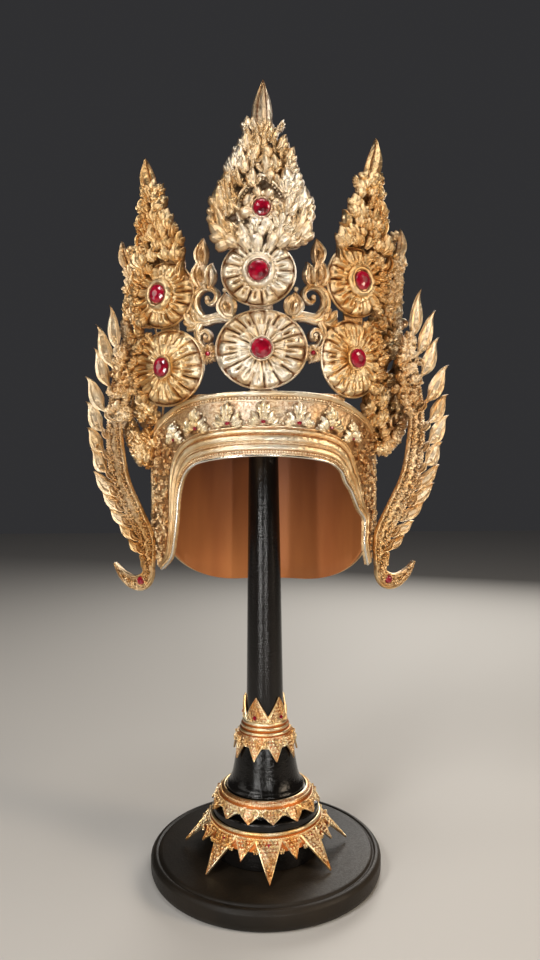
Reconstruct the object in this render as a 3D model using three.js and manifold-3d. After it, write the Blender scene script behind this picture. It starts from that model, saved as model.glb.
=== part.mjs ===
// A gilded Thai diadem with three tall flame finials, side panels and swept ear wings, standing on
// a black turned stand with three gilded collars. Millimetres, +Z up, the front faces -Y, and the
// origin is the middle of the base's underside.
import * as THREE from 'three';
import { mergeVertices } from 'three/addons/utils/BufferGeometryUtils.js';
import Module from 'manifold-3d';

const wasm = await Module();
wasm.setup();

// clearances and sheets
const gap = 0.3;                 // between neighbouring pieces
const plateThickness = 3;        // cast ornament plates
const overlap = 0.4;             // how far joined pieces of one casting reach into each other

// the stand
const baseRadius = 101;
const baseHeight = 18;
const drumRadius = 46.8;
const drumTop = 56;
const neckRadius = 38;
const neckTop = 70;
const bellRadius = 31.2;
const bellThroat = 16.9;         // radius of the bell's cylindrical top
const bellTop = 124;
const poleBottomRadius = 16.6;
const poleTopRadius = 13.1;
const restHeight = 366;          // underside of the head rest
const restThickness = 7;
const restHubThickness = 9;
const restArmWidth = 12;
const restHubRadius = 22;

// the head ring
const headRadius = 94;           // inner face of the brow band
const bandRadius = 97;           // outer face of the band's field
const rimRadius = 99;            // crest of its rolled rims
const guardThickness = 2.4;
const liningThickness = 2.4;
const liningOuter = headRadius - 2 * gap;
const liningInner = liningOuter - liningThickness;

// flat ornaments lie in upright planes: distance of the front face from the head's axis, and the
// turn away from straight ahead, in degrees
const planes = {
  centre: { distance: 92.6, azimuth: 0 },
  scroll: { distance: 90.6, azimuth: 26.7 },
  column: { distance: 92.6, azimuth: 34 },
  panel: { distance: 78, azimuth: 36 },
  wing: { distance: 76, azimuth: 25 },
};

const palette = {
  blackLacquer: { color: 0x0d0b0b, roughness: 0.35, metalness: 0 },
  collarGold: { color: 0xd9962e, roughness: 0.35, metalness: 1 },
  crownGold: { color: 0xdcbd7c, roughness: 0.3, metalness: 1 },
  liningLeather: { color: 0x7a4423, roughness: 0.7, metalness: 0 },
  rubyGlass: { color: 0xb3102f, roughness: 0.1, metalness: 0 },
};

for (const [name, values] of Object.entries(palette)) {
  palette[name] = new THREE.MeshStandardMaterial({ name, ...values });
}

const radians = THREE.MathUtils.degToRad;
const lerp = THREE.MathUtils.lerp;

// solids

function signedVolume(positions, index) {
  const [a, b, c] = [new THREE.Vector3(), new THREE.Vector3(), new THREE.Vector3()];
  let volume = 0;
  for (let i = 0; i < index.length; i += 3) {
    a.fromArray(positions, index[i] * 3);
    b.fromArray(positions, index[i + 1] * 3);
    c.fromArray(positions, index[i + 2] * 3);
    volume += a.dot(b.cross(c)) / 6;
  }
  return volume;
}

// a closed geometry as a solid whose faces point outwards
function solid(geometry) {
  const bare = geometry.clone();
  bare.deleteAttribute('normal');
  bare.deleteAttribute('uv');
  const merged = mergeVertices(bare, 1e-4);
  const vertProperties = new Float32Array(merged.attributes.position.array);
  const source = merged.index.array;
  const kept = [];
  for (let i = 0; i < source.length; i += 3) {
    const [a, b, c] = [source[i], source[i + 1], source[i + 2]];
    if (a !== b && b !== c && c !== a) kept.push(a, b, c);
  }
  if (signedVolume(vertProperties, kept) < 0) kept.reverse();
  return new wasm.Manifold(new wasm.Mesh({ numProp: 3, vertProperties, triVerts: new Uint32Array(kept) }));
}

function unite(solids) {
  return solids.reduce((whole, next) => whole.add(next));
}

function toGeometry(body) {
  const mesh = body.getMesh();
  const geometry = new THREE.BufferGeometry();
  const positions = new Float32Array(mesh.numVert * 3);
  for (let i = 0; i < mesh.numVert; i += 1) {
    for (let k = 0; k < 3; k += 1) positions[i * 3 + k] = mesh.vertProperties[i * mesh.numProp + k];
  }
  geometry.setAttribute('position', new THREE.BufferAttribute(positions, 3));
  geometry.setIndex(Array.from(mesh.triVerts));
  geometry.computeVertexNormals();
  return geometry;
}

// a closed skin through rings of equally many points, with both ends closed
function loft(rings) {
  const count = rings[0].length;
  const positions = rings.flat().flatMap((p) => [p.x, p.y, p.z]);
  const index = [];
  for (let r = 0; r + 1 < rings.length; r += 1) {
    for (let i = 0; i < count; i += 1) {
      const [a, b] = [r * count + i, r * count + ((i + 1) % count)];
      index.push(a, b, b + count, a, b + count, a + count);
    }
  }
  for (const [ring, flip] of [[0, true], [rings.length - 1, false]]) {
    const middle = new THREE.Vector3();
    rings[ring].forEach((p) => middle.addScaledVector(p, 1 / count));
    const centre = positions.length / 3;
    positions.push(middle.x, middle.y, middle.z);
    for (let i = 0; i < count; i += 1) {
      const [a, b] = [ring * count + i, ring * count + ((i + 1) % count)];
      index.push(centre, flip ? b : a, flip ? a : b);
    }
  }
  const geometry = new THREE.BufferGeometry();
  geometry.setAttribute('position', new THREE.BufferAttribute(new Float32Array(positions), 3));
  geometry.setIndex(index);
  return geometry;
}

// a profile of [radius, height] rows turned about the vertical axis
function turned(profile, segments) {
  const points = profile.map(([radius, height]) => new THREE.Vector2(radius, height));
  return solid(new THREE.LatheGeometry(points, segments).rotateX(Math.PI / 2));
}

// a ring whose section is a closed list of [radius, height] rows
function turnedRing(section, segments) {
  return turned([...section, section[0]], segments);
}

// a flat plate of an outline, from the height back to the height back + thickness
function plate(outline, thickness, back = 0) {
  const shape = new THREE.Shape(outline.map(([x, y]) => new THREE.Vector2(x, y)));
  const geometry = new THREE.ExtrudeGeometry(shape, { depth: thickness, bevelEnabled: false });
  return solid(geometry.translate(0, 0, back));
}

// outline of a pointed leaf from its base to its tip
function leafOutline(base, tip, width, stations = [[0, 0.3], [0.42, 1]]) {
  const along = new THREE.Vector2(tip[0] - base[0], tip[1] - base[1]);
  const across = new THREE.Vector2(-along.y, along.x).normalize().multiplyScalar(width / 2);
  const edge = (sign) => stations.map(([t, w]) => [
    base[0] + along.x * t + across.x * w * sign,
    base[1] + along.y * t + across.y * w * sign,
  ]);
  return [...edge(1), tip, ...edge(-1).reverse()];
}

// outline of a strip that follows [x, y, width] rows
function stripOutline(rows, steps) {
  const line = new THREE.SplineCurve(rows.map(([x, y]) => new THREE.Vector2(x, y)));
  const left = [];
  const right = [];
  for (let i = 0; i <= steps; i += 1) {
    const t = i / steps;
    const at = line.getPoint(t);
    const normal = line.getTangent(t).rotateAround(new THREE.Vector2(), Math.PI / 2);
    const place = t * (rows.length - 1);
    const row = Math.min(Math.floor(place), rows.length - 2);
    const half = lerp(rows[row][2], rows[row + 1][2], place - row) / 2;
    left.push([at.x + normal.x * half, at.y + normal.y * half]);
    right.push([at.x - normal.x * half, at.y - normal.y * half]);
  }
  return [...left, ...right.reverse()];
}

// the scene

const headdress = new THREE.Group();
headdress.name = 'thai_headdress_on_stand';

function part(name, body, material, parent = headdress) {
  const mesh = new THREE.Mesh(toGeometry(body), material);
  mesh.name = name;
  parent.add(mesh);
  return mesh;
}

// a group whose XY plane is one of the upright planes, x to the viewer's right and z to the front
function uprightPlane({ distance, azimuth }, side = 1) {
  const turn = new THREE.Group();
  turn.rotation.z = radians(azimuth) * side;
  const face = new THREE.Group();
  face.position.set(0, -distance, 0);
  face.rotation.x = Math.PI / 2;
  turn.add(face);
  headdress.add(turn);
  return face;
}

// the stand

// turned profiles, as [radius, height] rows from the axis out and back to the axis
const standProfiles = {
  stand_base: [
    [0, 0], [baseRadius - 3, 0], [baseRadius - 1, 2], [baseRadius, 5], [baseRadius, baseHeight - 4],
    [baseRadius - 3, baseHeight - 0.8], [baseRadius - 6, baseHeight - 1.6], [baseRadius - 7, baseHeight],
    [0, baseHeight],
  ],
  stand_drum: [
    [0, baseHeight + gap], [52, baseHeight + gap], [50, baseHeight + 3], [48, 34], [drumRadius - 1, 43],
    [drumRadius, 46], [drumRadius, drumTop - 1], [drumRadius - 1, drumTop], [neckRadius, drumTop],
    [neckRadius, neckTop], [0, neckTop],
  ],
  stand_bell: [
    [0, neckTop + gap], [33.4, neckTop + gap], [34.4, neckTop + 1.6], [33.6, neckTop + 4],
    [bellRadius, neckTop + 7], [29.2, 82], [27.8, 89], [25.8, 100], [23, 112], [21, 117], [bellThroat, 121],
    [bellThroat, bellTop], [0, bellTop],
  ],
  stand_pole: [
    [0, bellTop + gap], [poleBottomRadius, bellTop + gap], [poleTopRadius, restHeight - gap],
    [0, restHeight - gap],
  ],
};
const baseSegments = 36;
const turningSegments = 24;

function addStand() {
  for (const [name, profile] of Object.entries(standProfiles)) {
    const segments = name === 'stand_base' ? baseSegments : turningSegments;
    part(name, turned(profile, segments), palette.blackLacquer);
  }

  // four plain arms on a hub carry the ring: the front arm meets the band, the others the lining
  const liningReach = liningInner - 2 * gap;
  const armLengths = [liningReach, headRadius - 2 * gap, liningReach, liningReach];
  const hub = new THREE.CylinderGeometry(restHubRadius, restHubRadius, restHubThickness, turningSegments);
  const arms = armLengths.map((length, i) => {
    const end = Math.sqrt(length ** 2 - (restArmWidth / 2) ** 2);
    const arm = new THREE.BoxGeometry(end, restArmWidth, restThickness);
    return solid(arm.translate(end / 2, 0, restThickness / 2).rotateZ(radians(-90 * i)));
  });
  const rest = unite([solid(hub.rotateX(Math.PI / 2).translate(0, 0, restHubThickness / 2)), ...arms]);
  part('head_rest', rest.translate([0, 0, restHeight]), palette.blackLacquer);
}

// the gilded collars

// a tapering spike from a root to a tip in the plane of [radius, height], at an angle round the stand
function spike(root, tip, width, thickness, angle) {
  const rings = [[root, 1], [tip, 0.06]];
  const lean = new THREE.Vector2(tip[0] - root[0], tip[1] - root[1]).normalize();
  const loftRings = rings.map(([at, size]) => {
    const [half, depth] = [width / 2 * size, thickness * Math.max(size, 0.25)];
    const out = new THREE.Vector2(-lean.y, lean.x).multiplyScalar(lean.y < 0 ? depth : -depth);
    return [
      new THREE.Vector3(at[0], -half, at[1]),
      new THREE.Vector3(at[0], half, at[1]),
      new THREE.Vector3(at[0] + out.x, 0, at[1] + out.y),
    ];
  });
  return solid(loft(loftRings).rotateZ(angle));
}

// each collar's section, as [radius, height] rows, and its rows of spikes: how many, the turn of the
// first one in degrees, and the root and tip as [radius, height]
const collars = {
  star_collar: {
    section: [
      [drumRadius + gap, 43.4], [49.2, 42.6], [49.9, 45.4], [48.8, 47.6], [48.8, 49.6],
      [drumRadius + gap, 50.2],
    ],
    spikes: [
      { count: 8, turn: 2.6, root: [48, 44.4], tip: [71.2, 19.4], width: 24, thickness: 2.2 },
      { count: 8, turn: 25.1, root: [48, 44.2], tip: [58.5, 32.5], width: 17, thickness: 2.2 },
    ],
  },
  fringe_collar: {
    section: [
      [neckRadius + gap, 63.4], [41.2, 62.8], [41.9, 65.2], [40.2, 68.4], [38.4, 70.6], [36.2, 71.6],
      [35.6, 70.9], [35.6, neckTop + gap], [neckRadius + gap, neckTop + gap],
    ],
    spikes: [
      { count: 14, turn: 7.5, root: [40.6, 65.4], tip: [47, 56.3], width: 17.4, thickness: 1.8 },
    ],
  },
  crown_collar: {
    section: [
      [24, 110.4], [25.3, 110.2], [24.9, 114.6], [23, 119.2], [22.7, 121.8], [21.2, 123.6], [21.3, 126],
      [19.9, 127.8], [19.6, 130], [bellThroat + 0.4, 130.6], [bellThroat + 0.4, 121.6], [21.6, 117.5],
    ],
    spikes: [
      { count: 5, turn: 45, root: [17.9, 129.6], tip: [18.2, 151], width: 22.5, thickness: 1.8 },
      { count: 9, turn: 20, root: [23, 118.8], tip: [27.7, 99.8], width: 19, thickness: 1.8 },
    ],
  },
};

function addCollars() {
  for (const [name, { section, spikes }] of Object.entries(collars)) {
    const rows = spikes.flatMap(({ count, turn, root, tip, width, thickness }) => (
      Array.from({ length: count }, (_, i) => (
        spike(root, tip, width, thickness, radians(turn + (360 / count) * i - 90))
      ))
    ));
    part(name, unite([turnedRing(section, turningSegments), ...rows]), palette.collarGold);
  }
}

// the head ring

const onRing = (radius, degrees, height) => new THREE.Vector3(
  radius * Math.sin(radians(degrees)), -radius * Math.cos(radians(degrees)), height,
);

// the band from the middle of the brow to the foot of a cheek: the angle and height of its edge at
// the opening and of its outer edge
const browRows = [
  { openAngle: 0, openZ: 361.5, edgeAngle: 0, edgeZ: 410.6 },
  { openAngle: 14, openZ: 360.5, edgeAngle: 17, edgeZ: 410.4 },
  { openAngle: 26, openZ: 358, edgeAngle: 32, edgeZ: 408 },
  { openAngle: 34, openZ: 354.5, edgeAngle: 44, edgeZ: 402.6 },
  { openAngle: 39.5, openZ: 348, edgeAngle: 54, edgeZ: 396.4 },
  { openAngle: 42.5, openZ: 339, edgeAngle: 64, edgeZ: 390 },
];
const cheekRows = {
  left: [
    { openAngle: 44.5, openZ: 328, edgeAngle: 75, edgeZ: 380 },
    { openAngle: 45.5, openZ: 314, edgeAngle: 84, edgeZ: 358 },
    { openAngle: 47.5, openZ: 296, edgeAngle: 85, edgeZ: 328 },
    { openAngle: 51, openZ: 279, edgeAngle: 82, edgeZ: 301 },
    { openAngle: 60, openZ: 269, edgeAngle: 76, edgeZ: 281 },
  ],
  right: [
    { openAngle: 46.5, openZ: 332, edgeAngle: 75, edgeZ: 380 },
    { openAngle: 52, openZ: 318, edgeAngle: 84, edgeZ: 358 },
    { openAngle: 58.5, openZ: 308, edgeAngle: 85, edgeZ: 332 },
    { openAngle: 58, openZ: 288, edgeAngle: 83, edgeZ: 304 },
    { openAngle: 62, openZ: 271, edgeAngle: 77, edgeZ: 283 },
  ],
};

// across the band, from the opening to the outer edge: a rolled wire, a rib, the field and a rim
const bandSection = [
  { across: 0, radius: bandRadius }, { across: 0.04, radius: rimRadius },
  { across: 0.12, radius: rimRadius - 1 }, { across: 0.3, radius: bandRadius + 0.6 },
  { across: 0.4, radius: rimRadius - 0.4 }, { across: 0.46, radius: bandRadius },
  { across: 0.6, radius: bandRadius }, { across: 0.73, radius: bandRadius },
  { across: 0.86, radius: bandRadius }, { across: 0.92, radius: rimRadius },
  { across: 1, radius: rimRadius - 0.6 },
];
const bandInside = [1, 0.86, 0.73, 0.6, 0.46, 0.3, 0.15, 0];

function bandRing({ openAngle, openZ, edgeAngle, edgeZ }) {
  const outside = bandSection.map(({ across, radius }) => (
    onRing(radius, lerp(openAngle, edgeAngle, across), lerp(openZ, edgeZ, across))
  ));
  const inside = bandInside.map((across) => (
    onRing(headRadius, lerp(openAngle, edgeAngle, across), lerp(openZ, edgeZ, across))
  ));
  return [...outside, ...inside];
}

// rows between the given ones, so that the wall follows the head's curve
function refined(rows, steps) {
  const out = [];
  rows.slice(1).forEach((row, i) => {
    for (let k = 0; k < steps; k += 1) {
      const between = (key) => [key, lerp(rows[i][key], row[key], k / steps)];
      out.push(Object.fromEntries(Object.keys(row).map(between)));
    }
  });
  return [...out, rows[rows.length - 1]];
}

// the walls round the back: their lower edge sags from the sides to the nape
const guardSideZ = 283;
const guardBackZ = 239;
const guardTop = 394;
const liningTop = 390;
const guardStart = 88;           // degrees from the front, clear of the cheeks
const liningStart = 64;          // degrees from the front, tucked inside the cheeks
const nape = 176;                // where the sag is deepest, in degrees from the front
const sagReach = 78;             // degrees from the nape where the sag starts, and where it levels out
const sagLevel = 20;

function backWall(inner, outer, fromAngle, topZ, steps) {
  const rings = [];
  for (let i = 0; i <= steps; i += 1) {
    const angle = lerp(fromAngle, 360 - fromAngle, i / steps);
    const share = (sagReach - Math.abs(angle - nape)) / (sagReach - sagLevel);
    const sag = 1 - (1 - THREE.MathUtils.clamp(share, 0, 1)) ** 2;
    const lowZ = lerp(guardSideZ, guardBackZ, sag);
    rings.push([
      onRing(inner, angle, lowZ), onRing(outer, angle, lowZ),
      onRing(outer, angle, topZ), onRing(inner, angle, topZ),
    ]);
  }
  return solid(loft(rings));
}

// seven small three-petalled flowers on the band's field: degrees from the front, and the foot's height
const bandFlowers = [
  { angle: -46, low: 373 }, { angle: -32, low: 382 }, { angle: -16, low: 385 }, { angle: 0, low: 386 },
  { angle: 16, low: 385 }, { angle: 32, low: 382 }, { angle: 46, low: 373 },
];
const flowerPetals = { tips: [[-9.5, 6], [9.5, 6], [0, 16]], width: 8, thickness: 2.2 };
const flowerFoot = { outline: [[-8, 0], [8, 0], [5, 3], [-5, 3]], thickness: 1.8 };

function addHeadRing() {
  const mirrorRow = (row) => ({ ...row, openAngle: -row.openAngle, edgeAngle: -row.edgeAngle });
  const brow = refined(browRows, 2);
  const rows = [
    ...[...brow, ...cheekRows.left].map(mirrorRow).reverse(),
    ...brow.slice(1), ...cheekRows.right,
  ];
  part('brow_band', solid(loft(rows.map(bandRing))), palette.crownGold);

  const lining = backWall(liningInner, liningOuter, liningStart, liningTop, 30);
  part('leather_lining', lining, palette.liningLeather);
  const guard = backWall(headRadius, headRadius + guardThickness, guardStart, guardTop, 26);
  part('back_guard', guard, palette.crownGold);

  bandFlowers.forEach(({ angle, low }, i) => {
    const face = uprightPlane({ distance: bandRadius + 2 * gap, azimuth: angle });
    const petals = flowerPetals.tips.map((tip) => (
      plate(leafOutline([0, 1], tip, flowerPetals.width), flowerPetals.thickness)
    ));
    const flower = unite([...petals, plate(flowerFoot.outline, flowerFoot.thickness)]);
    part(`band_flower_${i + 1}`, flower.translate([0, low, 0]), palette.crownGold, face);
  });
}

// rosettes

const stoneRadius = 7.8;
const bezelRadius = 11.4;
const petalCount = 12;

// a domed dish of petals with its rim and bezel, lying on its plane; the last height is the seat
function rosette(radius, squash, seatZ) {
  const profile = [
    [0, 0], [radius * 0.93, 0], [radius, 1.6], [radius * 0.93, 4.4],
    [lerp(bezelRadius, radius, 0.45), seatZ - 1], [bezelRadius + 0.6, seatZ - 1.6],
    [bezelRadius, seatZ + 2], [stoneRadius + 1, seatZ + 2], [stoneRadius + gap, seatZ], [0, seatZ],
  ];
  const points = profile.map(([r, h]) => new THREE.Vector2(r, h));
  const geometry = new THREE.LatheGeometry(points, petalCount * 2).rotateX(Math.PI / 2);
  const { position } = geometry.attributes;
  const at = new THREE.Vector3();
  for (let i = 0; i < position.count; i += 1) {
    at.fromBufferAttribute(position, i);
    const reach = Math.hypot(at.x, at.y);
    const outer = THREE.MathUtils.smoothstep(reach, bezelRadius + 1, radius);
    const valley = Math.cos(Math.atan2(at.y, at.x) * petalCount) < 0 ? 1 : 0;
    const shrink = 1 - 0.035 * outer * valley;
    position.setXYZ(i, at.x * shrink * lerp(1, squash, outer), at.y * shrink, at.z);
  }
  return solid(geometry);
}

function stone(radius, seatZ) {
  return turned([
    [0, seatZ + gap], [radius * 0.8, seatZ + gap], [radius, seatZ + 1.6], [radius * 0.62, seatZ + 4.2],
    [0, seatZ + 4.2],
  ], 10);
}

// each rosette's plane, its middle along and up that plane, and its size
const rosettes = [
  { name: 'centre_lower', plane: 'centre', side: 1, along: -1, up: 442.6, radius: 31, squash: 1.15 },
  { name: 'centre_upper', plane: 'centre', side: 1, along: -3, up: 501, radius: 26, squash: 1.115 },
  { name: 'left_lower', plane: 'column', side: -1, along: 28.3, up: 432.6, radius: 31.2, squash: 1.19 },
  { name: 'left_upper', plane: 'column', side: -1, along: 32, up: 491.5, radius: 27, squash: 1.17 },
  { name: 'right_lower', plane: 'column', side: 1, along: 21.5, up: 438.2, radius: 31.4, squash: 1 },
  { name: 'right_upper', plane: 'column', side: 1, along: 26.5, up: 500.5, radius: 28.5, squash: 1.06 },
];
const rosetteSeat = 9.2;         // height of the stone's seat above the rosette's back
const crestBoss = { radius: 15, seat: 4, stoneRadius: 6.6, up: 549.5 };
const reliefThickness = 1.6;     // how far a finial's middle stands out

function addRosettes() {
  rosettes.forEach(({ name, plane, side, along, up, radius, squash }) => {
    const face = uprightPlane(planes[plane], side);
    const dish = part(`${name}_rosette`, rosette(radius, squash, rosetteSeat), palette.crownGold, face);
    const gem = part(`${name}_stone`, stone(stoneRadius, rosetteSeat), palette.rubyGlass, face);
    for (const mesh of [dish, gem]) mesh.position.set(side * along, up, gap);
  });
  const { radius, seat, up } = crestBoss;
  const crest = uprightPlane(planes.centre);
  const bossBody = turned([
    [0, 0], [radius * 0.9, 0], [radius, 1.5], [radius * 0.85, 3.2], [bezelRadius - 1, 3],
    [bezelRadius - 1.6, seat + 1.6], [crestBoss.stoneRadius + 1.2, seat + 1.6],
    [crestBoss.stoneRadius + gap, seat], [0, seat],
  ], turningSegments);
  const boss = part('centre_crest_boss', bossBody, palette.crownGold, crest);
  const crestStone = stone(crestBoss.stoneRadius, seat);
  const bossGem = part('centre_crest_stone', crestStone, palette.rubyGlass, crest);
  for (const mesh of [boss, bossGem]) mesh.position.set(0, up, gap + reliefThickness);
}

// finials

// a finial's tooth tips from its foot to the root of its spear, along and up its plane, then its tip;
// its raised middle starts at one of the first teeth, clear of the rosette below
const finials = {
  centre: {
    plane: 'centre', side: 1, neck: [-20, 20], tongue: [-11, 11], tongueZ: 396, neckZ: 412,
    teeth: [
      { z: 536, inner: -41, outer: 41 }, { z: 552, inner: -43, outer: 42 },
      { z: 564, inner: -38, outer: 37 }, { z: 578, inner: -31, outer: 31 },
      { z: 591, inner: -25, outer: 25 }, { z: 603, inner: -20, outer: 19 },
      { z: 613, inner: -17, outer: 16 },
    ],
    spear: { z: 621, inner: -7.5, outer: 7.5 }, tip: [0, 648], reliefFrom: 0,
  },
  left: {
    plane: 'column', side: -1, neck: [10, 44], tongue: [-8, 13], tongueZ: 390, neckZ: 410,
    teeth: [
      { z: 519, inner: 5, outer: 67 }, { z: 534, inner: 11, outer: 67 }, { z: 549, inner: 17, outer: 66 },
      { z: 564, inner: 27, outer: 65 }, { z: 578, inner: 35, outer: 62 },
    ],
    spear: { z: 587, inner: 45, outer: 59 }, tip: [56, 607], reliefFrom: 1,
  },
  right: {
    plane: 'column', side: 1, neck: [6, 40], tongue: [-8, 13], tongueZ: 390, neckZ: 410,
    teeth: [
      { z: 529, inner: 2, outer: 65 }, { z: 544, inner: 7, outer: 64 }, { z: 559, inner: 12, outer: 62 },
      { z: 574, inner: 23, outer: 59 }, { z: 587, inner: 31, outer: 58 },
    ],
    spear: { z: 596, inner: 41, outer: 56 }, tip: [51, 619], reliefFrom: 1,
  },
};
const toothDepth = 5;
const footDrop = 14;             // from the lowest teeth down to the foot of the blade

function finialOutline({ side, neck, tongue, tongueZ, neckZ, teeth, spear, tip }) {
  const foot = teeth[0].z - footDrop;
  const edge = (key, sign) => teeth.flatMap((row, i) => {
    const reach = i + 1 < teeth.length ? toothDepth : toothDepth + 2;
    return [[row[key], row.z], [row[key] + sign * reach, row.z - 2]];
  });
  const outline = [
    [tongue[0], tongueZ], [tongue[1], tongueZ], [tongue[1], neckZ], [neck[1], neckZ], [neck[1], foot - 4],
    [teeth[0].outer - 9, foot], ...edge('outer', -1), [spear.outer, spear.z], tip,
    [spear.inner, spear.z], ...edge('inner', 1).reverse(), [teeth[0].inner + 9, foot],
    [neck[0], foot - 4], [neck[0], neckZ], [tongue[0], neckZ],
  ];
  return outline.map(([along, up]) => [side * along, up]);
}

// the raised middle of a finial: its outline drawn in towards its axis
function reliefOutline({ side, teeth, spear, tip, reliefFrom }) {
  const rows = [...teeth.slice(reliefFrom), spear];
  const inset = (row) => Math.min(7, (row.outer - row.inner) * 0.22);
  const edge = (key, sign) => rows.map((row) => [row[key] + sign * inset(row), row.z]);
  return [...edge('outer', -1), [tip[0], tip[1] - 8], ...edge('inner', 1).reverse()]
    .map(([along, up]) => [side * along, up]);
}

function addFinials() {
  for (const [name, finial] of Object.entries(finials)) {
    const face = uprightPlane(planes[finial.plane], finial.side);
    const body = unite([
      plate(finialOutline(finial), plateThickness, -plateThickness),
      plate(reliefOutline(finial), reliefThickness + overlap, -overlap),
    ]);
    part(`${name}_finial`, body, palette.crownGold, face);
  }
}

// side panels

// the outer and inner edge of the openwork panel beyond each side finial, as [along, up] rows of its
// plane: the outer edge from its foot to its tip, the inner one back down; shift moves the piercings
const panels = {
  left: {
    outer: [
      [65.4, 354], [78, 357], [87, 366], [93, 380], [97, 396], [99, 411], [100, 432], [99, 452],
      [92, 459], [98, 482], [100, 508], [102, 531],
    ],
    tip: [92, 547],
    inner: [[79, 532], [75, 500], [72, 470], [64, 440], [63, 409], [65.4, 384]],
    shift: 0,
  },
  right: {
    outer: [
      [65.4, 360], [76, 362], [86, 371], [97, 384], [104, 398], [106, 411], [107, 434], [106, 456],
      [94, 463], [97, 488], [103, 514], [104, 536],
    ],
    tip: [98, 560],
    inner: [[83, 541], [76, 505], [73, 474], [64, 446], [63, 415], [65.4, 386]],
    shift: 2,
  },
};
// leaf-shaped piercings, leaning outwards
const piercings = [
  { up: 392, from: 70, to: 77 }, { up: 388, from: 84, to: 90 }, { up: 416, from: 72, to: 81 },
  { up: 418, from: 89, to: 95 }, { up: 440, from: 75, to: 85 }, { up: 481, from: 79, to: 89 }, { up: 503, from: 82, to: 92 }, { up: 524, from: 85, to: 94 },
];
const piercingWidth = 6;

function addSidePanels() {
  for (const [name, side] of [['left', -1], ['right', 1]]) {
    const { outer, tip, inner, shift } = panels[name];
    const outline = [...outer, tip, ...inner].map(([along, up]) => [side * along, up]);
    const holes = piercings.map(({ from, to, up }) => plate(
      leafOutline([side * (from + shift), up - 6], [side * (to + shift), up + 6], piercingWidth),
      plateThickness + 2, -plateThickness - 1,
    ));
    const face = uprightPlane(planes.panel, side);
    const body = plate(outline, plateThickness, -plateThickness).subtract(unite(holes));
    part(`${name}_side_panel`, body, palette.crownGold, face);
  }
}

// ear wings and hooks

// the wing's strap from its seat on the cheek to its top, and the hook that turns out below it
const wingStrap = [
  { along: 72.5, up: 269, width: 13 }, { along: 73.6, up: 292, width: 15 },
  { along: 84, up: 312, width: 16 }, { along: 98, up: 336, width: 18 },
  { along: 104, up: 362, width: 17 }, { along: 107, up: 392, width: 15 },
  { along: 105, up: 424, width: 12 }, { along: 101, up: 452, width: 7 },
];
const hookStrap = [
  { along: 75.5, up: 280, width: 10 }, { along: 71.5, up: 265, width: 11 },
  { along: 77.5, up: 256.5, width: 14 }, { along: 88, up: 256, width: 11.5 },
  { along: 98, up: 262, width: 7.5 }, { along: 105.5, up: 271, width: 1.5 },
];
// the root and the tip of each blade, from the top down
const wingBlades = [
  { rootAlong: 101, rootUp: 448, tipAlong: 110, tipUp: 493, width: 10 },
  { rootAlong: 105, rootUp: 436, tipAlong: 124, tipUp: 477, width: 11 },
  { rootAlong: 109, rootUp: 420, tipAlong: 131, tipUp: 456, width: 12 },
  { rootAlong: 112, rootUp: 400, tipAlong: 139, tipUp: 432, width: 12.5 },
  { rootAlong: 112, rootUp: 382, tipAlong: 139, tipUp: 410, width: 12.5 },
  { rootAlong: 111, rootUp: 365, tipAlong: 138, tipUp: 389, width: 12.5 },
  { rootAlong: 108, rootUp: 348, tipAlong: 132, tipUp: 368, width: 12 },
  { rootAlong: 104, rootUp: 334, tipAlong: 126, tipUp: 349, width: 11 },
  { rootAlong: 99, rootUp: 321, tipAlong: 120, tipUp: 333, width: 10 },
  { rootAlong: 92, rootUp: 309, tipAlong: 111, tipUp: 318, width: 9.5 },
  { rootAlong: 84, rootUp: 297, tipAlong: 101, tipUp: 304, width: 9 },
  { rootAlong: 78, rootUp: 286, tipAlong: 92, tipUp: 292, width: 8 },
];
// a shoulder on the strap's inner side reaches towards the side panel
const wingShoulder = [[98, 386, 4], [93.5, 406, 12], [94.5, 432, 12], [98, 456, 4]];
const wingSeat = { along: 72, up: 265 };
// the right wing stands a little wider and higher than the left one
const wingSpread = { left: { shift: 0, out: 1, rise: 1 }, right: { shift: 0.8, out: 1.12, rise: 1.05 } };
const bladeThickness = 2.4;
const hookStoneRadius = 3.4;
const hookStoneAt = { along: 78, up: 257.5 };

function addWings() {
  for (const [name, side] of [['left', -1], ['right', 1]]) {
    const { shift, out, rise } = wingSpread[name];
    const settle = (along, up) => [
      side * (wingSeat.along + shift + (along - wingSeat.along) * out),
      wingSeat.up + (up - wingSeat.up) * rise,
    ];
    const strap = stripOutline(wingStrap.map((row) => [...settle(row.along, row.up), row.width]), 18);
    const shoulder = stripOutline(wingShoulder.map(([along, up, width]) => [...settle(along, up), width]), 10);
    const hookRows = hookStrap.map(({ along, up, width }) => [side * (along + shift), up, width]);
    const blades = wingBlades.map((blade, i) => {
      const back = 0.3 + 0.15 * (i % 2) - plateThickness;   // neighbours don't share a face
      const root = settle(blade.rootAlong, blade.rootUp);
      const tip = settle(blade.tipAlong, blade.tipUp);
      return plate(leafOutline(root, tip, blade.width), bladeThickness, back);
    });
    const body = unite([
      plate(strap, plateThickness, -plateThickness),
      plate(shoulder, bladeThickness - 0.4, 0.2 - plateThickness),
      plate(stripOutline(hookRows, 14), plateThickness + 1, -plateThickness - 0.2),
      ...blades,
    ]);
    const face = uprightPlane(planes.wing, side);
    part(`${name}_ear_wing`, body, palette.crownGold, face);
    const gem = part(`${name}_hook_stone`, stone(hookStoneRadius, 0), palette.rubyGlass, face);
    gem.position.set(side * (hookStoneAt.along + shift), hookStoneAt.up, 0.8);
  }
}

// scrolls

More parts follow.
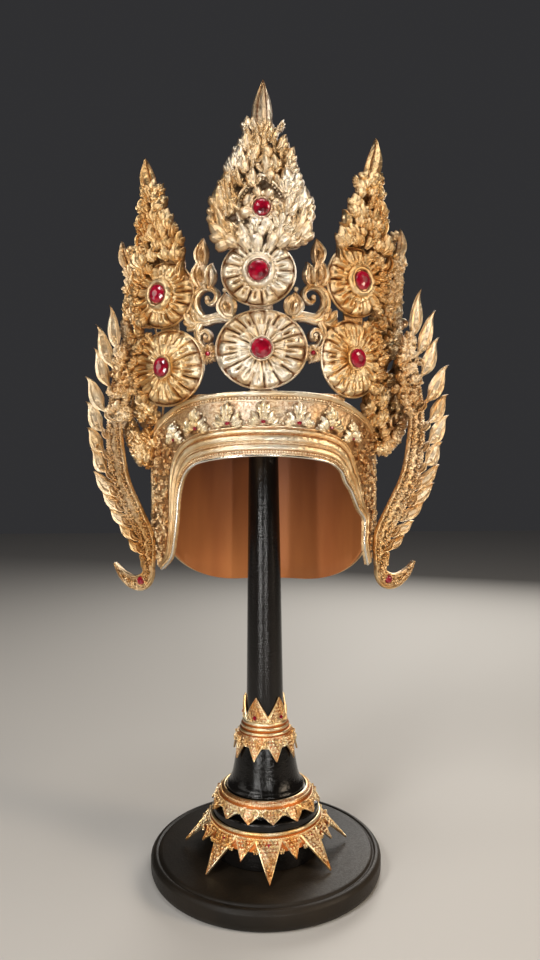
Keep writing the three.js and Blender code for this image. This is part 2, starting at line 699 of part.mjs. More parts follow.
// a branch ties the centre finial's neck to a side one's, with a curl, a bud and two leaves on it
const scrollInner = -21.4;       // along its plane, beside the centre neck
const scrollOuter = { left: 20.7, right: 16.8 };   // beside each side neck
const scrollShift = { left: 2, right: -2 };        // the curl, bud and leaves along the branch
const curlCentre = { along: 1, up: 484 };
const scrollLeaves = [
  { base: [0, 492], tip: [0, 515], width: 17 }, { base: [0, 506], tip: [1, 530], width: 12 },
  { base: [-14, 467], tip: [-16, 490], width: 8 }, { base: [9, 465], tip: [13.5, 481], width: 8 },
];
const linkFlower = [[0, 0], [5, 0], [6.4, 1.4], [5.2, 3.2], [3, 3.4], [2.4, 4.6], [0, 4.8]];
const linkFlowerUp = 441;

function addScrolls() {
  for (const [name, side] of [['left', -1], ['right', 1]]) {
    const shift = scrollShift[name];
    const strip = (rows, steps, thickness, back) => {
      const settled = rows.map(([along, up, width]) => [side * along, up, width]);
      return plate(stripOutline(settled, steps), thickness, back);
    };
    const curl = Array.from({ length: 9 }, (_, i) => {
      const angle = radians(-100 + i * 52);
      const reach = lerp(15, 3, i / 8);
      const width = lerp(6, 3.4, i / 8);
      const [along, up] = [reach * Math.cos(angle), reach * Math.sin(angle)];
      return [curlCentre.along + shift + along, curlCentre.up + up, width];
    });
    const settle = ([along, up]) => [side * (along + shift), up];
    const leaves = scrollLeaves.map(({ base, tip, width }) => (
      plate(leafOutline(settle(base), settle(tip), width), 2.2, -2.5)
    ));
    const branch = [[scrollInner, 467, 7], [-8, 467, 7], [8, 464, 6], [scrollOuter[name], 463, 6]];
    const body = unite([
      strip(branch, 8, plateThickness, -plateThickness),
      strip(curl, 22, 2.5, -2.75),
      strip([[-2 + shift, 466, 6], [shift, 454, 6], [-2 + shift, 440, 7]], 6, 2.6, -2.8),
      ...leaves,
    ]);
    const face = uprightPlane(planes.scroll, side);
    part(`${name}_scroll`, body, palette.crownGold, face);
    const bloom = part(`${name}_link_flower`, turned(linkFlower, 12), palette.crownGold, face);
    bloom.position.set(side * (shift - 2), linkFlowerUp, gap);
  }
}

addStand();
addCollars();
addHeadRing();
addRosettes();
addFinials();
addSidePanels();
addWings();
addScrolls();

export default headdress;
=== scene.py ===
import math
import bmesh
import bpy
import numpy as np
from mathutils import Matrix, Vector


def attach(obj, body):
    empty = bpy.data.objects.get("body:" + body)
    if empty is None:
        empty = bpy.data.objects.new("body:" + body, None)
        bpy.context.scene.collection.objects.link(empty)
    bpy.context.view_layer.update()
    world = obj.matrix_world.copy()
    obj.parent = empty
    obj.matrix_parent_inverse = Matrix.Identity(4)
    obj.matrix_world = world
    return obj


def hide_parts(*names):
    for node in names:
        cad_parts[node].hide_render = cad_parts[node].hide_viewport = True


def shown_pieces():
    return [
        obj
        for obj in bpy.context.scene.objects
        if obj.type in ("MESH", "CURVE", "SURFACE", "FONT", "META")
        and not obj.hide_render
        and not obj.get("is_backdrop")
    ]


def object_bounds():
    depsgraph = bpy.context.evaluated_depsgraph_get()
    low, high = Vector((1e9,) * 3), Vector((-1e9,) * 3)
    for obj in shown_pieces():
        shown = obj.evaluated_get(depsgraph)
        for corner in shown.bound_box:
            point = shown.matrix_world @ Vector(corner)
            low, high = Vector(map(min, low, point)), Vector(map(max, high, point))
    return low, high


# A gilded Thai diadem on a black turned stand. Pieces are shaped in millimetres, flat ornaments in
# their own upright plane (x across, y up, z towards the front), and turned into metres at the end.

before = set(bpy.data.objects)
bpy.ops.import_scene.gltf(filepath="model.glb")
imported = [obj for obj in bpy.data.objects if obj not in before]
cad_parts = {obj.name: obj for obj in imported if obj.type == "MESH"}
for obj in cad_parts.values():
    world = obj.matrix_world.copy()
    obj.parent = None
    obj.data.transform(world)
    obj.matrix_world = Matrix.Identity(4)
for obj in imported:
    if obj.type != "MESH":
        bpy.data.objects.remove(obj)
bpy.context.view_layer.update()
scene = bpy.context.scene
toMetres = Matrix.Scale(0.001, 4)


# meshes

def smoothStep(low, high, value):
    t = np.clip((value - low) / (high - low), 0, 1)
    return t * t * (3 - 2 * t)


def curveThrough(rows, steps):
    # Catmull-Rom through rows of numbers, evenly spaced in rows
    rows = np.array(rows, float)
    rows = np.vstack([2 * rows[0] - rows[1], rows, 2 * rows[-1] - rows[-2]])
    out = []
    for place in np.linspace(0, len(rows) - 3, steps + 1):
        k = min(int(place), len(rows) - 4)
        t, (a, b, c, d) = place - k, rows[k:k + 4]
        out.append(0.5 * (2 * b + (c - a) * t + (2 * a - 5 * b + 4 * c - d) * t ** 2
                          + (3 * b - a - 3 * c + d) * t ** 3))
    return np.array(out)


def runAlong(points):
    # how far along a line each of its points lies
    return np.append(0, np.cumsum(np.linalg.norm(np.diff(points, axis=0), axis=1)))


def rowAt(place, run, rows):
    return [float(np.interp(place, run, column)) for column in np.transpose(rows)]


def rightOf(path):
    # unit vectors to the right of the heading of a flat path
    heading = np.gradient(path, axis=0)
    heading /= np.linalg.norm(heading, axis=1)[:, None] + 1e-9
    return np.stack([heading[:, 1], -heading[:, 0]], 1)


def reworked(mesh, change):
    bm = bmesh.new()
    bm.from_mesh(mesh)
    change(bm)
    bm.to_mesh(mesh)
    bm.free()
    return mesh


class Clay:
    # points, faces and a relief value for each point, 0 in the recesses to 1 on the raised parts; the gold
    # finishes paint shade where it is low

    def __init__(self):
        self.points, self.faces, self.relief = [], [], []

    def add(self, points, faces, relief=1.0, turn=None):
        points = np.array(points, float).reshape(-1, 3)
        if turn is not None:
            m = np.array(turn)
            points = points @ m[:3, :3].T + m[:3, 3]
        count = sum(map(len, self.points))
        self.points.append(points)
        self.faces.extend(tuple(int(i) + count for i in face) for face in faces)
        self.relief.append(np.broadcast_to(np.array(relief, float), (len(points),)))
        return self

    def addMesh(self, mesh, turn=None, share=1.0, bend=None):
        # with its own relief, or a share of it; bend moves the points before they are turned
        points, relief = np.zeros((len(mesh.vertices), 3)), np.ones(len(mesh.vertices))
        mesh.vertices.foreach_get("co", points.reshape(-1))
        if "relief" in mesh.attributes:
            mesh.attributes["relief"].data.foreach_get("value", relief)
        faces = [tuple(face.vertices) for face in mesh.polygons]
        return self.add(bend(points) if bend else points, faces, relief * share, turn)

    def loft(self, rings, relief=1.0, tip=None):
        # rings of equally many points; the ends are closed flat, or in a point
        rings = np.array(rings, float)
        n, k = rings.shape[:2]
        last, around = (n - 1) * k, [(j, (j + 1) % k) for j in range(k)]
        faces = [(i + a, i + b, i + k + b, i + k + a) for i in range(0, last, k) for a, b in around]
        faces.append(tuple(reversed(range(k))))
        points = rings.reshape(-1, 3)
        values = np.broadcast_to(np.array(relief, float), (n, k)).reshape(-1)
        if tip is None:
            faces.append(tuple(range(last, n * k)))
        else:
            points, values = np.vstack([points, tip]), np.append(values, values[-1])
            faces.extend((last + a, last + b, n * k) for a, b in around)
        return self.add(points, faces, values)

    def sweep(self, path, widths, heights, section, lift=0.0, tip=None):
        # a section of (across, up, relief) carried along a flat path
        path = np.array(path, float)
        widths, heights, lift = (np.broadcast_to(np.array(v, float), (len(path),))[:, None]
                                 for v in (widths, heights, lift))
        across, up, relief = np.transpose(section)
        flat = path[:, None, :] + rightOf(path)[:, None, :] * (widths / 2 * across)[:, :, None]
        rings = np.concatenate([flat, (lift + heights * up)[:, :, None]], 2)
        return self.loft(rings, np.tile(relief, (len(path), 1)), tip)

    def lathe(self, profile, segments, relief=1.0, turn=None):
        # a closed profile of (radius, height) turned about z; rows on the axis become poles
        points, values, rings, faces = [], [], [], []
        for (r, h), value in zip(profile, np.broadcast_to(np.array(relief, float), (len(profile),))):
            count = 1 if r < 1e-6 else segments
            rings.append([len(points) + s % count for s in range(segments + 1)])
            values.extend([value] * count)
            for s in range(count):
                a = 2 * math.pi * s / segments
                points.append((r * math.cos(a), r * math.sin(a), h))
        if min(r for r, h in profile) >= 1e-6:
            rings.append(rings[0])
        for a, b in zip(rings, rings[1:]):
            for s in range(segments):
                face = tuple(dict.fromkeys((a[s], a[s + 1], b[s + 1], b[s])))
                if len(face) > 2:
                    faces.append(face)
        return self.add(points, faces, values, turn)

    def mesh(self, name, crease=38):
        mesh = bpy.data.meshes.new(name)
        mesh.from_pydata(np.vstack(self.points).tolist(), [], self.faces)
        store = mesh.attributes.new("relief", "FLOAT", "POINT")
        store.data.foreach_set("value", np.concatenate(self.relief).astype(np.float32))
        reworked(mesh, lambda bm: bmesh.ops.recalc_face_normals(bm, faces=bm.faces))
        mesh.shade_smooth()
        mesh.set_sharp_from_angle(angle=math.radians(crease))
        return mesh


def addObject(name, data):
    obj = bpy.data.objects.new(name, data)
    scene.collection.objects.link(obj)
    return obj


def evaluatedMesh(name, data, prepare=None):
    # the mesh that a curve or a modifier makes
    holder = addObject(name, data)
    if prepare:
        prepare(holder)
    made = bpy.data.meshes.new_from_object(holder.evaluated_get(bpy.context.evaluated_depsgraph_get()))
    bpy.data.objects.remove(holder)
    return made


def plateMesh(outlines, back, front, edge):
    # a flat sheet between two heights, from closed outlines: the first is the rim, the others holes
    curve = bpy.data.curves.new("plate", "CURVE")
    curve.dimensions, curve.fill_mode = "2D", "BOTH"
    for outline in outlines:
        spline = curve.splines.new("POLY")
        spline.points.add(len(outline) - 1)
        for point, (x, y) in zip(spline.points, outline):
            point.co = (x, y, 0, 1)
        spline.use_cyclic_u = True
    curve.extrude, curve.offset = (front - back) / 2 - edge, -edge
    curve.bevel_depth, curve.bevel_resolution = edge, 1
    mesh = reworked(evaluatedMesh("plate", curve),
                    lambda bm: bmesh.ops.remove_doubles(bm, verts=bm.verts, dist=1e-4))
    mesh.transform(Matrix.Translation((0, 0, (front + back) / 2)))
    return mesh


# distance from the axis and turn about it of the planes that flat ornaments stand in
planes = {"centre": (92.6, 0), "scroll": (90.6, 26.7), "column": (92.6, 34), "panel": (78, 36),
          "wing": (76, 25)}


def uprightPlane(distance, azimuth, side=1):
    return (Matrix.Rotation(math.radians(azimuth) * side, 4, "Z") @ Matrix.Translation((0, -distance, 0))
            @ Matrix.Rotation(math.pi / 2, 4, "X"))


def onRing(radius, degrees, height):
    a = math.radians(degrees)
    return (radius * math.sin(a), -radius * math.cos(a), height)


# finished pieces


def finishPiece(name, mesh, turn, finish, *nodes):
    mesh.transform(toMetres @ turn)
    mesh.materials.clear()
    mesh.materials.append(finishes[finish])
    obj = addObject(name, mesh)
    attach(obj, "root")
    if nodes:
        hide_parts(*nodes)


# node trees

def newTree(name, kind, inputs, outputs):
    # an input's type follows from its default; a word names the type of an input without one
    tree, types = bpy.data.node_groups.new(name, kind), {float: "Float", int: "Int", tuple: "Vector"}
    for label, value in inputs.items():
        word = value if isinstance(value, str) else types[type(value)]
        made = tree.interface.new_socket(label, in_out="INPUT", socket_type="NodeSocket" + word)
        if word != value:
            made.default_value = value
    for label, word in outputs.items():
        tree.interface.new_socket(label, in_out="OUTPUT", socket_type="NodeSocket" + word)
    return tree, tree.nodes.new("NodeGroupInput").outputs, tree.nodes.new("NodeGroupOutput").inputs


def addNode(tree, kind, settings=None, *values, **inputs):
    # values fill the inputs in turn, named ones the input of that name, with underscores for spaces;
    # a socket is linked and a value is set
    node = tree.nodes.new(kind)
    for key, value in (settings or {}).items():
        setattr(node, key, value)
    pairs = list(zip(node.inputs, values))
    for key, value in inputs.items():
        label = key.replace("_", " ")
        pairs.append((next(s for s in node.inputs if s.name == label and s.enabled), value))
    for socket, value in pairs:
        if isinstance(value, bpy.types.NodeSocket):
            tree.links.new(value, socket)
        else:
            socket.default_value = value
    return node


def calc(tree, operation, *values):
    return addNode(tree, "ShaderNodeMath", {"operation": operation}, *values).outputs[0]


def vectorCalc(tree, operation, *values, **inputs):
    return addNode(tree, "ShaderNodeVectorMath", {"operation": operation}, *values, **inputs).outputs[0]


def newShapeTree(name, **inputs):
    inputs = {key.replace("_", " "): value for key, value in inputs.items()}
    return newTree(name, "GeometryNodeTree", {"Geometry": "Geometry", **inputs, "Finish": "Material"},
                   {"Geometry": "Geometry"})


def closeTree(tree, geometry, given, result):
    finish = addNode(tree, "GeometryNodeSetMaterial", Geometry=geometry, Material=given["Finish"])
    tree.links.new(finish.outputs[0], result[0])
    return tree


def instance(tree, points, shape, **inputs):
    place = addNode(tree, "GeometryNodeInstanceOnPoints", Points=points, Instance=shape, **inputs)
    return addNode(tree, "GeometryNodeRealizeInstances", None, place.outputs[0]).outputs[0]


def placeKit(tree, given, points, kind, turn, size, variation, swing=None):
    kit = addNode(tree, "GeometryNodeCollectionInfo", Collection=given["Kit"], Separate_Children=True,
                  Reset_Children=True)
    either = addNode(tree, "FunctionNodeRandomValue", {"data_type": "FLOAT_VECTOR"},
                     Min=(-1, -1, -1), Max=(1, 1, 1), Seed=given["Seed"]).outputs[0]
    grow = vectorCalc(tree, "SCALE", Vector=either, Scale=variation)
    size = vectorCalc(tree, "MULTIPLY", size, vectorCalc(tree, "ADD", grow, (1, 1, 1)))
    if swing:
        turn = vectorCalc(tree, "ADD", turn, vectorCalc(tree, "SCALE", Vector=either, Scale=swing))
    rotation = addNode(tree, "FunctionNodeEulerToRotation", Euler=turn)
    return instance(tree, points, kit.outputs[0], Pick_Instance=True, Instance_Index=kind,
                    Rotation=rotation.outputs[0], Scale=size)


def runTree(tree, mesh, **values):
    # the tree's result on a mesh, as a plain mesh
    identifiers = {s.name: s.identifier for s in tree.interface.items_tree if s.item_type == "SOCKET"
                   and s.in_out == "INPUT"}

    def prepare(holder):
        modifier = holder.modifiers.new("shape", "NODES")
        modifier.node_group = tree
        for key, value in values.items():
            modifier[identifiers[key.replace("_", " ")]] = value

    return evaluatedMesh("holder", mesh, prepare)


def makeScatterTree():
    # ornaments from a kit on points that carry their kind, turn and size
    tree, given, result = newShapeTree("scatterOrnaments", Kit="Collection", Size_Variation=0.08,
                                       Turn_Variation=0.05, Seed=1)
    kind, turn, size = (addNode(tree, "GeometryNodeInputNamedAttribute", {"data_type": what}, Name=label)
                        .outputs[0] for what, label in (("INT", "kind"), ("FLOAT_VECTOR", "turn"),
                                                        ("FLOAT_VECTOR", "size")))
    real = placeKit(tree, given, given["Geometry"], kind, turn, size, given["Size Variation"],
                    given["Turn Variation"])
    return closeTree(tree, real, given, result)


def makeBeadTree():
    # beads at an even spacing along a line
    tree, given, result = newShapeTree("beadsAlong", Spacing=2.2, Bead_Radius=1.0)
    line = addNode(tree, "GeometryNodeMeshToCurve", Mesh=given["Geometry"])
    spaced = addNode(tree, "GeometryNodeResampleCurve", {"mode": "LENGTH"}, Curve=line.outputs[0],
                     Length=given["Spacing"])
    bead = addNode(tree, "GeometryNodeMeshIcoSphere", Radius=given["Bead Radius"], Subdivisions=2)
    return closeTree(tree, instance(tree, spaced.outputs[0], bead.outputs[0]), given, result)


def makeWireTree():
    # a round wire along a line
    tree, given, result = newShapeTree("wireAlong", Wire_Radius=1.0, Sides=8)
    line = addNode(tree, "GeometryNodeMeshToCurve", Mesh=given["Geometry"])
    section = addNode(tree, "GeometryNodeCurvePrimitiveCircle", {"mode": "RADIUS"},
                      Radius=given["Wire Radius"], Resolution=given["Sides"])
    wire = addNode(tree, "GeometryNodeCurveToMesh", Curve=line.outputs[0],
                   Profile_Curve=section.outputs[0], Fill_Caps=True)
    return closeTree(tree, wire.outputs[0], given, result)


def makePetalTree():
    tree, given, result = newShapeTree(
        "petalRing", Kit="Collection", Petal=0, Petals=20, Inner_Radius=12.0, Height=4.0,
        Petal_Size=(6, 20, 4), Tilt=0.0, Phase=0.0, Variation=0.08, Seed=1)
    ring = addNode(tree, "GeometryNodeMeshCircle", Vertices=given["Petals"], Radius=given["Inner Radius"])
    index = addNode(tree, "GeometryNodeInputIndex")
    share = calc(tree, "DIVIDE", index.outputs[0], given["Petals"])
    full = calc(tree, "MULTIPLY_ADD", share, 2 * math.pi, -math.pi / 2)
    wobble = addNode(tree, "FunctionNodeRandomValue", {"data_type": "FLOAT"}, Min=-0.04, Max=0.04,
                     Seed=given["Seed"])
    turn = addNode(tree, "ShaderNodeCombineXYZ", X=given["Tilt"],
                   Z=calc(tree, "ADD", full, wobble.outputs[1]))
    real = placeKit(tree, given, ring.outputs[0], given["Petal"], turn.outputs[0], given["Petal Size"],
                    given["Variation"])
    lift = addNode(tree, "ShaderNodeCombineXYZ", Z=given["Height"])
    phase = addNode(tree, "ShaderNodeCombineXYZ", Z=given["Phase"])
    spun = addNode(tree, "FunctionNodeEulerToRotation", Euler=phase.outputs[0])
    raised = addNode(tree, "GeometryNodeTransform", Geometry=real, Translation=lift.outputs[0],
                     Rotation=spun.outputs[0])
    return closeTree(tree, raised.outputs[0], given, result)


trees = {"scatter": makeScatterTree(), "beads": makeBeadTree(), "wire": makeWireTree(),
         "petals": makePetalTree()}
print("geometry node trees ready")


kit = bpy.data.collections.new("ornamentKit")
kinds = {}

# sections of the ornaments: across, up, relief
leafSection = [(-1, 0, 0.1), (-0.8, 0.55, 0.75), (-0.45, 0.25, 0.1), (0, 1, 1), (0.45, 0.25, 0.1),
               (0.8, 0.55, 0.75), (1, 0, 0.1), (0.8, -0.3, 0), (-0.8, -0.3, 0)]
bladeSection = [(-1, 0, 0.5), (-0.8, 0.55, 0.95), (-0.45, 0.35, 0.6), (0, 1, 1), (0.45, 0.35, 0.6),
                (0.8, 0.55, 0.95), (1, 0, 0.5), (0.8, -0.3, 0), (-0.8, -0.3, 0)]
scrollSection = [(-1, 0, 0.1), (-0.75, 0.8, 0.8), (-0.35, 1, 1), (0, 0.6, 0.3), (0.35, 1, 1),
                 (0.75, 0.8, 0.8), (1, 0, 0.1), (0.8, -0.4, 0), (-0.8, -0.4, 0)]
hollowSection = [(-1, 0, 0.1), (-0.84, 0.9, 0.9), (-0.6, 0.85, 0.85), (-0.42, 0.3, 0.15), (0, 0.55, 0.6),
                 (0.42, 0.3, 0.15), (0.6, 0.85, 0.85), (0.84, 0.9, 0.9), (1, 0, 0.1), (0.8, -0.3, 0),
                 (-0.8, -0.3, 0)]
puffSection = [(-1, 0, 0.05), (-0.82, 0.6, 0.5), (-0.4, 1, 1), (0, 0.82, 0.7), (0.4, 1, 1), (0.82, 0.6, 0.5),
               (1, 0, 0.05)]
rimmedSection = [(-1, 0, 0.1), (-0.85, 0.9, 0.9), (-0.6, 0.75, 0.8), (-0.5, 0.3, 0.3), (0.5, 0.3, 0.3),
                 (0.6, 0.75, 0.8), (0.85, 0.9, 0.9), (1, 0, 0.1), (0.8, -0.3, 0), (-0.8, -0.3, 0)]
roundSection = [(-1, 0, 0.1), (-0.55, 0.9, 0.9), (0, 0.6, 0.5), (0.55, 0.9, 0.9), (1, 0, 0.1)]
toothSection = [(-1, 0, 0.1), (-0.97, 0.9, 1), (-0.84, 1, 1),
                *((u, 0.3, 0.2) for u in (-0.76, -0.5, -0.25, 0, 0.25, 0.5, 0.76)),
                (0.84, 1, 1), (0.97, 0.9, 1), (1, 0, 0.1), (0.5, 0, 0), (0, 0, 0), (-0.5, 0, 0)]


def addLeaf(clay, foot=(0, 0), tip=(0, 1), width=0.42, height=0.14, bow=0.0, belly=0.36, start=0.35,
            point=1.3, stalk=0.0, arch=0.5, flick=0.0, stations=12, section=leafSection, z=0.0):
    # a leaf from its foot to its tip; the bow bends it to the right of the heading
    foot, tip = np.array(foot, float), np.array(tip, float)
    along = tip - foot
    right = np.array([along[1], -along[0]])
    t = np.linspace(0, 1, stations + 1)[:-1]
    side = bow * 4 * t * (1 - t) * (1.25 - 0.5 * t) - flick * t ** 3 * (1 - t) * 6
    path = foot + np.outer(t, along) + np.outer(side, right)
    blade = np.clip((t - stalk) / (1 - stalk), 0, 1)
    rise = start + (1 - start) * np.sin(math.pi / 2 * np.clip(blade / belly, 0, 1))
    fall = np.cos(math.pi / 2 * np.clip((blade - belly) / (1 - belly), 0, 1)) ** point
    full = np.where(blade < belly, rise, fall)
    if stalk:
        full = np.where(t < stalk * 0.9, 0.24, np.maximum(full, 0.24 * (t < 0.5)))
    clay.sweep(path, np.maximum(full, 0.03) * width, height * (0.35 + 0.65 * full), section,
               z + height * arch * np.sin(math.pi * t), (*tip, z + height * 0.1 * np.linalg.norm(along)))


def addBall(clay, middle, radius):
    clay.lathe([(0, -radius), (radius * 0.7, -radius * 0.7), (radius, 0), (radius * 0.7, radius * 0.7),
                (0, radius)], 8, [0.3, 0.6, 1, 1, 1], turn=Matrix.Translation(middle))


def spiral(turns, side, steps, middle=(0.3, 0.6), outer=0.68, inner=0.1, fade=0.75):
    # from the foot up and over into its own middle
    first = math.atan2(-middle[1], -middle[0])
    s = np.linspace(0, 1, steps + 1)
    angle = first - turns * 2 * math.pi * s
    reach = outer + (inner - outer) * s ** fade
    reach[0] = math.hypot(*middle)
    return np.stack([side * (middle[0] + reach * np.cos(angle)), middle[1] + reach * np.sin(angle)], 1), s


def makeLeaf(clay, side):
    addLeaf(clay, width=0.46, height=0.16, bow=0.13 * side, flick=0.14 * side, belly=0.42, start=0.5,
            point=1.1, section=hollowSection)


def makeFlame(clay, side):
    # a hooked flame with a curl at its foot and a lobe on its outer side
    addLeaf(clay, (0, 0.04), (0.1 * side, 1), width=0.46, height=0.2, bow=0.15 * side, flick=0.16 * side,
            belly=0.42, start=0.6, point=1.0, stations=13, section=hollowSection, z=0.02)
    path, s = spiral(1.05, -side, 15, (0.17, 0.13), 0.2, 0.05)
    clay.sweep(path, 0.13 - 0.06 * s, 0.2 + 0.02 * s, scrollSection)
    addLeaf(clay, (0.1 * side, 0.02), (0.42 * side, 0.46), 0.24, 0.17, 0.12 * side, stations=8,
            belly=0.45, start=0.6, point=0.9, flick=0.1 * side)


def makeCurl(clay, side):
    path, s = spiral(1.1, side, 18)
    clay.sweep(path, 0.26 - 0.12 * s, 0.2 + 0.04 * s, scrollSection)
    clay.lathe([(0, 0), (0.14, 0), (0.17, 0.12), (0.12, 0.26), (0, 0.3)], 8,
               turn=Matrix.Translation((0.3 * side, 0.6, 0)))


def makePaw(clay, side):
    # a pointed lobe with fingers down its outer side and a bead at its foot
    for tip, foot, wide, bow, belly, point, flick in (
            ((0.1, 1), (0, 0.02), 0.54, 0.15, 0.5, 0.9, 0.12),
            ((0.44, 0.7), (0.1, 0.1), 0.36, 0.14, 0.62, 0.7, 0),
            ((0.46, 0.36), (0.06, 0.02), 0.34, 0.12, 0.62, 0.7, 0),
            ((-0.3, 0.58), (-0.06, 0.1), 0.32, -0.12, 0.62, 0.7, 0)):
        addLeaf(clay, (foot[0] * side, foot[1]), (tip[0] * side, tip[1]), wide, 0.28, bow * side, belly,
                0.5, point, stations=7, section=puffSection, flick=flick * side)
    addBall(clay, (-0.14 * side, 0.2, 0.16), 0.11)


def makeFrond(clay, side):
    # a broad curled leaf, scalloped with puffed lobes on both sides of its rib
    addLeaf(clay, (0, 0), (0.16 * side, 1), 0.3, 0.3, 0.16 * side, belly=0.4, start=0.7, point=0.7,
            stations=10, section=puffSection, flick=0.1 * side)
    for t, out, long, wide in ((0.08, 1, 0.36, 0.26), (0.26, 1, 0.38, 0.27), (0.44, 1, 0.34, 0.26),
                               (0.62, 1, 0.28, 0.22), (0.2, -1, 0.24, 0.22), (0.4, -1, 0.24, 0.2),
                               (0.58, -1, 0.2, 0.17)):
        a = math.radians(52 - 34 * t if out > 0 else 46 - 20 * t) * out * side
        x = (0.04 + 0.2 * math.sin(math.pi * t)) * side
        addLeaf(clay, (x, t), (x + long * math.sin(a), t + long * math.cos(a)), wide, 0.26,
                0.14 * out * side, belly=0.66, start=0.5, point=0.42, stations=6, arch=0.6,
                section=puffSection)
    addBall(clay, (-0.05 * side, 0.1, 0.24), 0.09)


def makeBlade(clay, side):
    # a wing blade on a stalk, with a rolled edge, a spine and a bead
    addLeaf(clay, bow=0.1 * side, flick=0.16 * side, width=0.36, height=0.13, stalk=0.2, belly=0.3,
            start=0.3, point=1.5, stations=18, arch=0.3, section=bladeSection)
    clay.lathe([(0, 0), (0.05, 0.02), (0.06, 0.1), (0.03, 0.16), (0, 0.17)], 9,
               turn=Matrix.Translation((0.065 * side, 0.36, 0.03)))


def makeShell(clay, side):
    # a short blade without a stalk, for the foot of the wing
    addLeaf(clay, bow=0.14 * side, flick=0.14 * side, width=0.5, height=0.2, belly=0.34, start=0.6,
            stations=12, arch=0.4, section=bladeSection)


def makeSpear(clay):
    addLeaf(clay, belly=0.3, point=1.1)


def makeBud(clay):
    # a teardrop with a raised rim and a smaller drop inside it
    addLeaf(clay, width=0.55, height=0.16, belly=0.4, start=0.5, point=1.2, section=rimmedSection)
    addLeaf(clay, (0, 0.14), (0, 0.72), 0.24, 0.19, belly=0.4, start=0.5, stations=9)


def makeBead(clay):
    clay.addMesh(reworked(bpy.data.meshes.new("ball"), lambda bm: bmesh.ops.create_icosphere(
        bm, subdivisions=2, radius=0.5)))


def makePalm(clay):
    # five puffed fingers spread from a bead
    for tip, wide, bow in (((0, 1), 0.46, 0), ((0.42, 0.78), 0.4, 0.08), ((-0.42, 0.78), 0.4, -0.08),
                           ((0.48, 0.38), 0.34, 0.1), ((-0.48, 0.38), 0.34, -0.1)):
        addLeaf(clay, (tip[0] * 0.14, 0.04), tip, wide, 0.28, bow, belly=0.6, start=0.45, point=0.75,
                stations=6, arch=0.55, section=puffSection)
    addBall(clay, (0, 0.16, 0.2), 0.12)


def makeFloret(clay):
    # five round petals about a bead
    for i in range(5):
        a = 2 * math.pi * i / 5
        addLeaf(clay, (0.08 * math.sin(a), 0.08 * math.cos(a)), (0.5 * math.sin(a), 0.5 * math.cos(a)),
                0.32, 0.2, belly=0.6, point=0.7, stations=4, arch=0.6, section=roundSection)
    addBall(clay, (0, 0, 0.14), 0.16)


def makePetal(clay):
    addLeaf(clay, width=0.8, height=0.3, belly=0.62, start=0.45, point=0.42, stations=9, arch=0.6,
            section=puffSection)


def makeGrain(clay):
    # the small ball of a filigree
    clay.lathe([(0, -0.3), (0.4, -0.2), (0.5, 0.1), (0.32, 0.4), (0, 0.5)], 7)


def makeTooth(clay):
    # a flat triangular tooth with a raised edge
    steps = np.linspace(0, 0.97, 12)
    clay.sweep(np.column_stack([steps * 0, steps]), 1 - steps, 0.2, toothSection, tip=(0, 1, 0.1))


# what makes each kind, its width and height at unit length, and whether it has a right and a left hand
makers = {
    "leaf": (makeLeaf, 0.46, 0.16, 2), "flame": (makeFlame, 0.8, 0.24, 2), "curl": (makeCurl, 0.9, 0.3, 2),
    "paw": (makePaw, 0.72, 0.36, 2), "frond": (makeFrond, 0.86, 0.42, 2), "blade": (makeBlade, 0.36, 0.15, 2),
    "shell": (makeShell, 0.5, 0.22, 2), "spear": (makeSpear, 0.42, 0.14, 1), "bud": (makeBud, 0.55, 0.2, 1),
    "bead": (makeBead, 1, 1, 1), "palm": (makePalm, 0.95, 0.4, 1), "floret": (makeFloret, 1, 0.3, 1),
    "petal": (makePetal, 0.8, 0.42, 1), "grain": (makeGrain, 1, 1, 1), "tooth": (makeTooth, 1, 0.2, 1),
}
for name, (make, wide, high, hands) in makers.items():
    for tag, side in (("R", 1), ("L", -1))[:hands]:
        clay = Clay()
        if hands == 2:
            make(clay, side)
        else:
            make(clay)
            tag = ""
        mesh = clay.mesh(name + tag)
        mesh.transform(Matrix.Diagonal((1 / wide, 1, 1 / high, 1)))
        kinds[name + tag] = len(kinds)
        kit.objects.link(bpy.data.objects.new(f"k{kinds[name + tag]:02d}_{name}{tag}", mesh))
print("ornament kit:", ", ".join(kinds))


class Spray:
    # the ornaments of one piece, laid out for the right side and mirrored for the left one

    def __init__(self, side=1):
        self.side, self.rows = side, []

    def put(self, kind, place, heading, size, lean=0.0):
        # heading is clockwise from straight up, in degrees; lean lifts the tip off the plane
        x, y, z = place
        if self.side < 0 and kind[-1] in "RL":
            kind = kind[:-1] + ("L" if kind[-1] == "R" else "R")
        turn = (math.radians(lean), 0, -math.radians(heading) * self.side)
        self.rows.append((kinds[kind], (x * self.side, y, z), turn, size))

    def grow(self, kind, foot, tip, width, height, z=0.0, lean=0.0):
        dx, dy = tip[0] - foot[0], tip[1] - foot[1]
        self.put(kind, (*foot, z), math.degrees(math.atan2(dx, dy)), (width, math.hypot(dx, dy), height),
                 lean)

    def stand(self, kind, place, up, out, size):
        # up is the way that the ornament grows, out the way that its face looks
        up, out = Vector(up).normalized(), Vector(out)
        out = (out - out.dot(up) * up).normalized()
        m = Matrix((up.cross(out), up, out)).transposed()
        self.rows.append((kinds[kind], tuple(place), tuple(m.to_euler("XYZ")), size))

    def mesh(self, sizeVariation=0.08, turnVariation=0.05, seed=1):
        mesh = bpy.data.meshes.new("spray")
        mesh.from_pydata([row[1] for row in self.rows], [], [])
        mesh.attributes.new("kind", "INT", "POINT").data.foreach_set("value", [r[0] for r in self.rows])
        for label, column in (("turn", 2), ("size", 3)):
            values = np.array([row[column] for row in self.rows], np.float32).reshape(-1)
            mesh.attributes.new(label, "FLOAT_VECTOR", "POINT").data.foreach_set("vector", values)
        return runTree(trees["scatter"], mesh, Kit=kit, Size_Variation=sizeVariation,
                       Turn_Variation=turnVariation, Seed=seed)


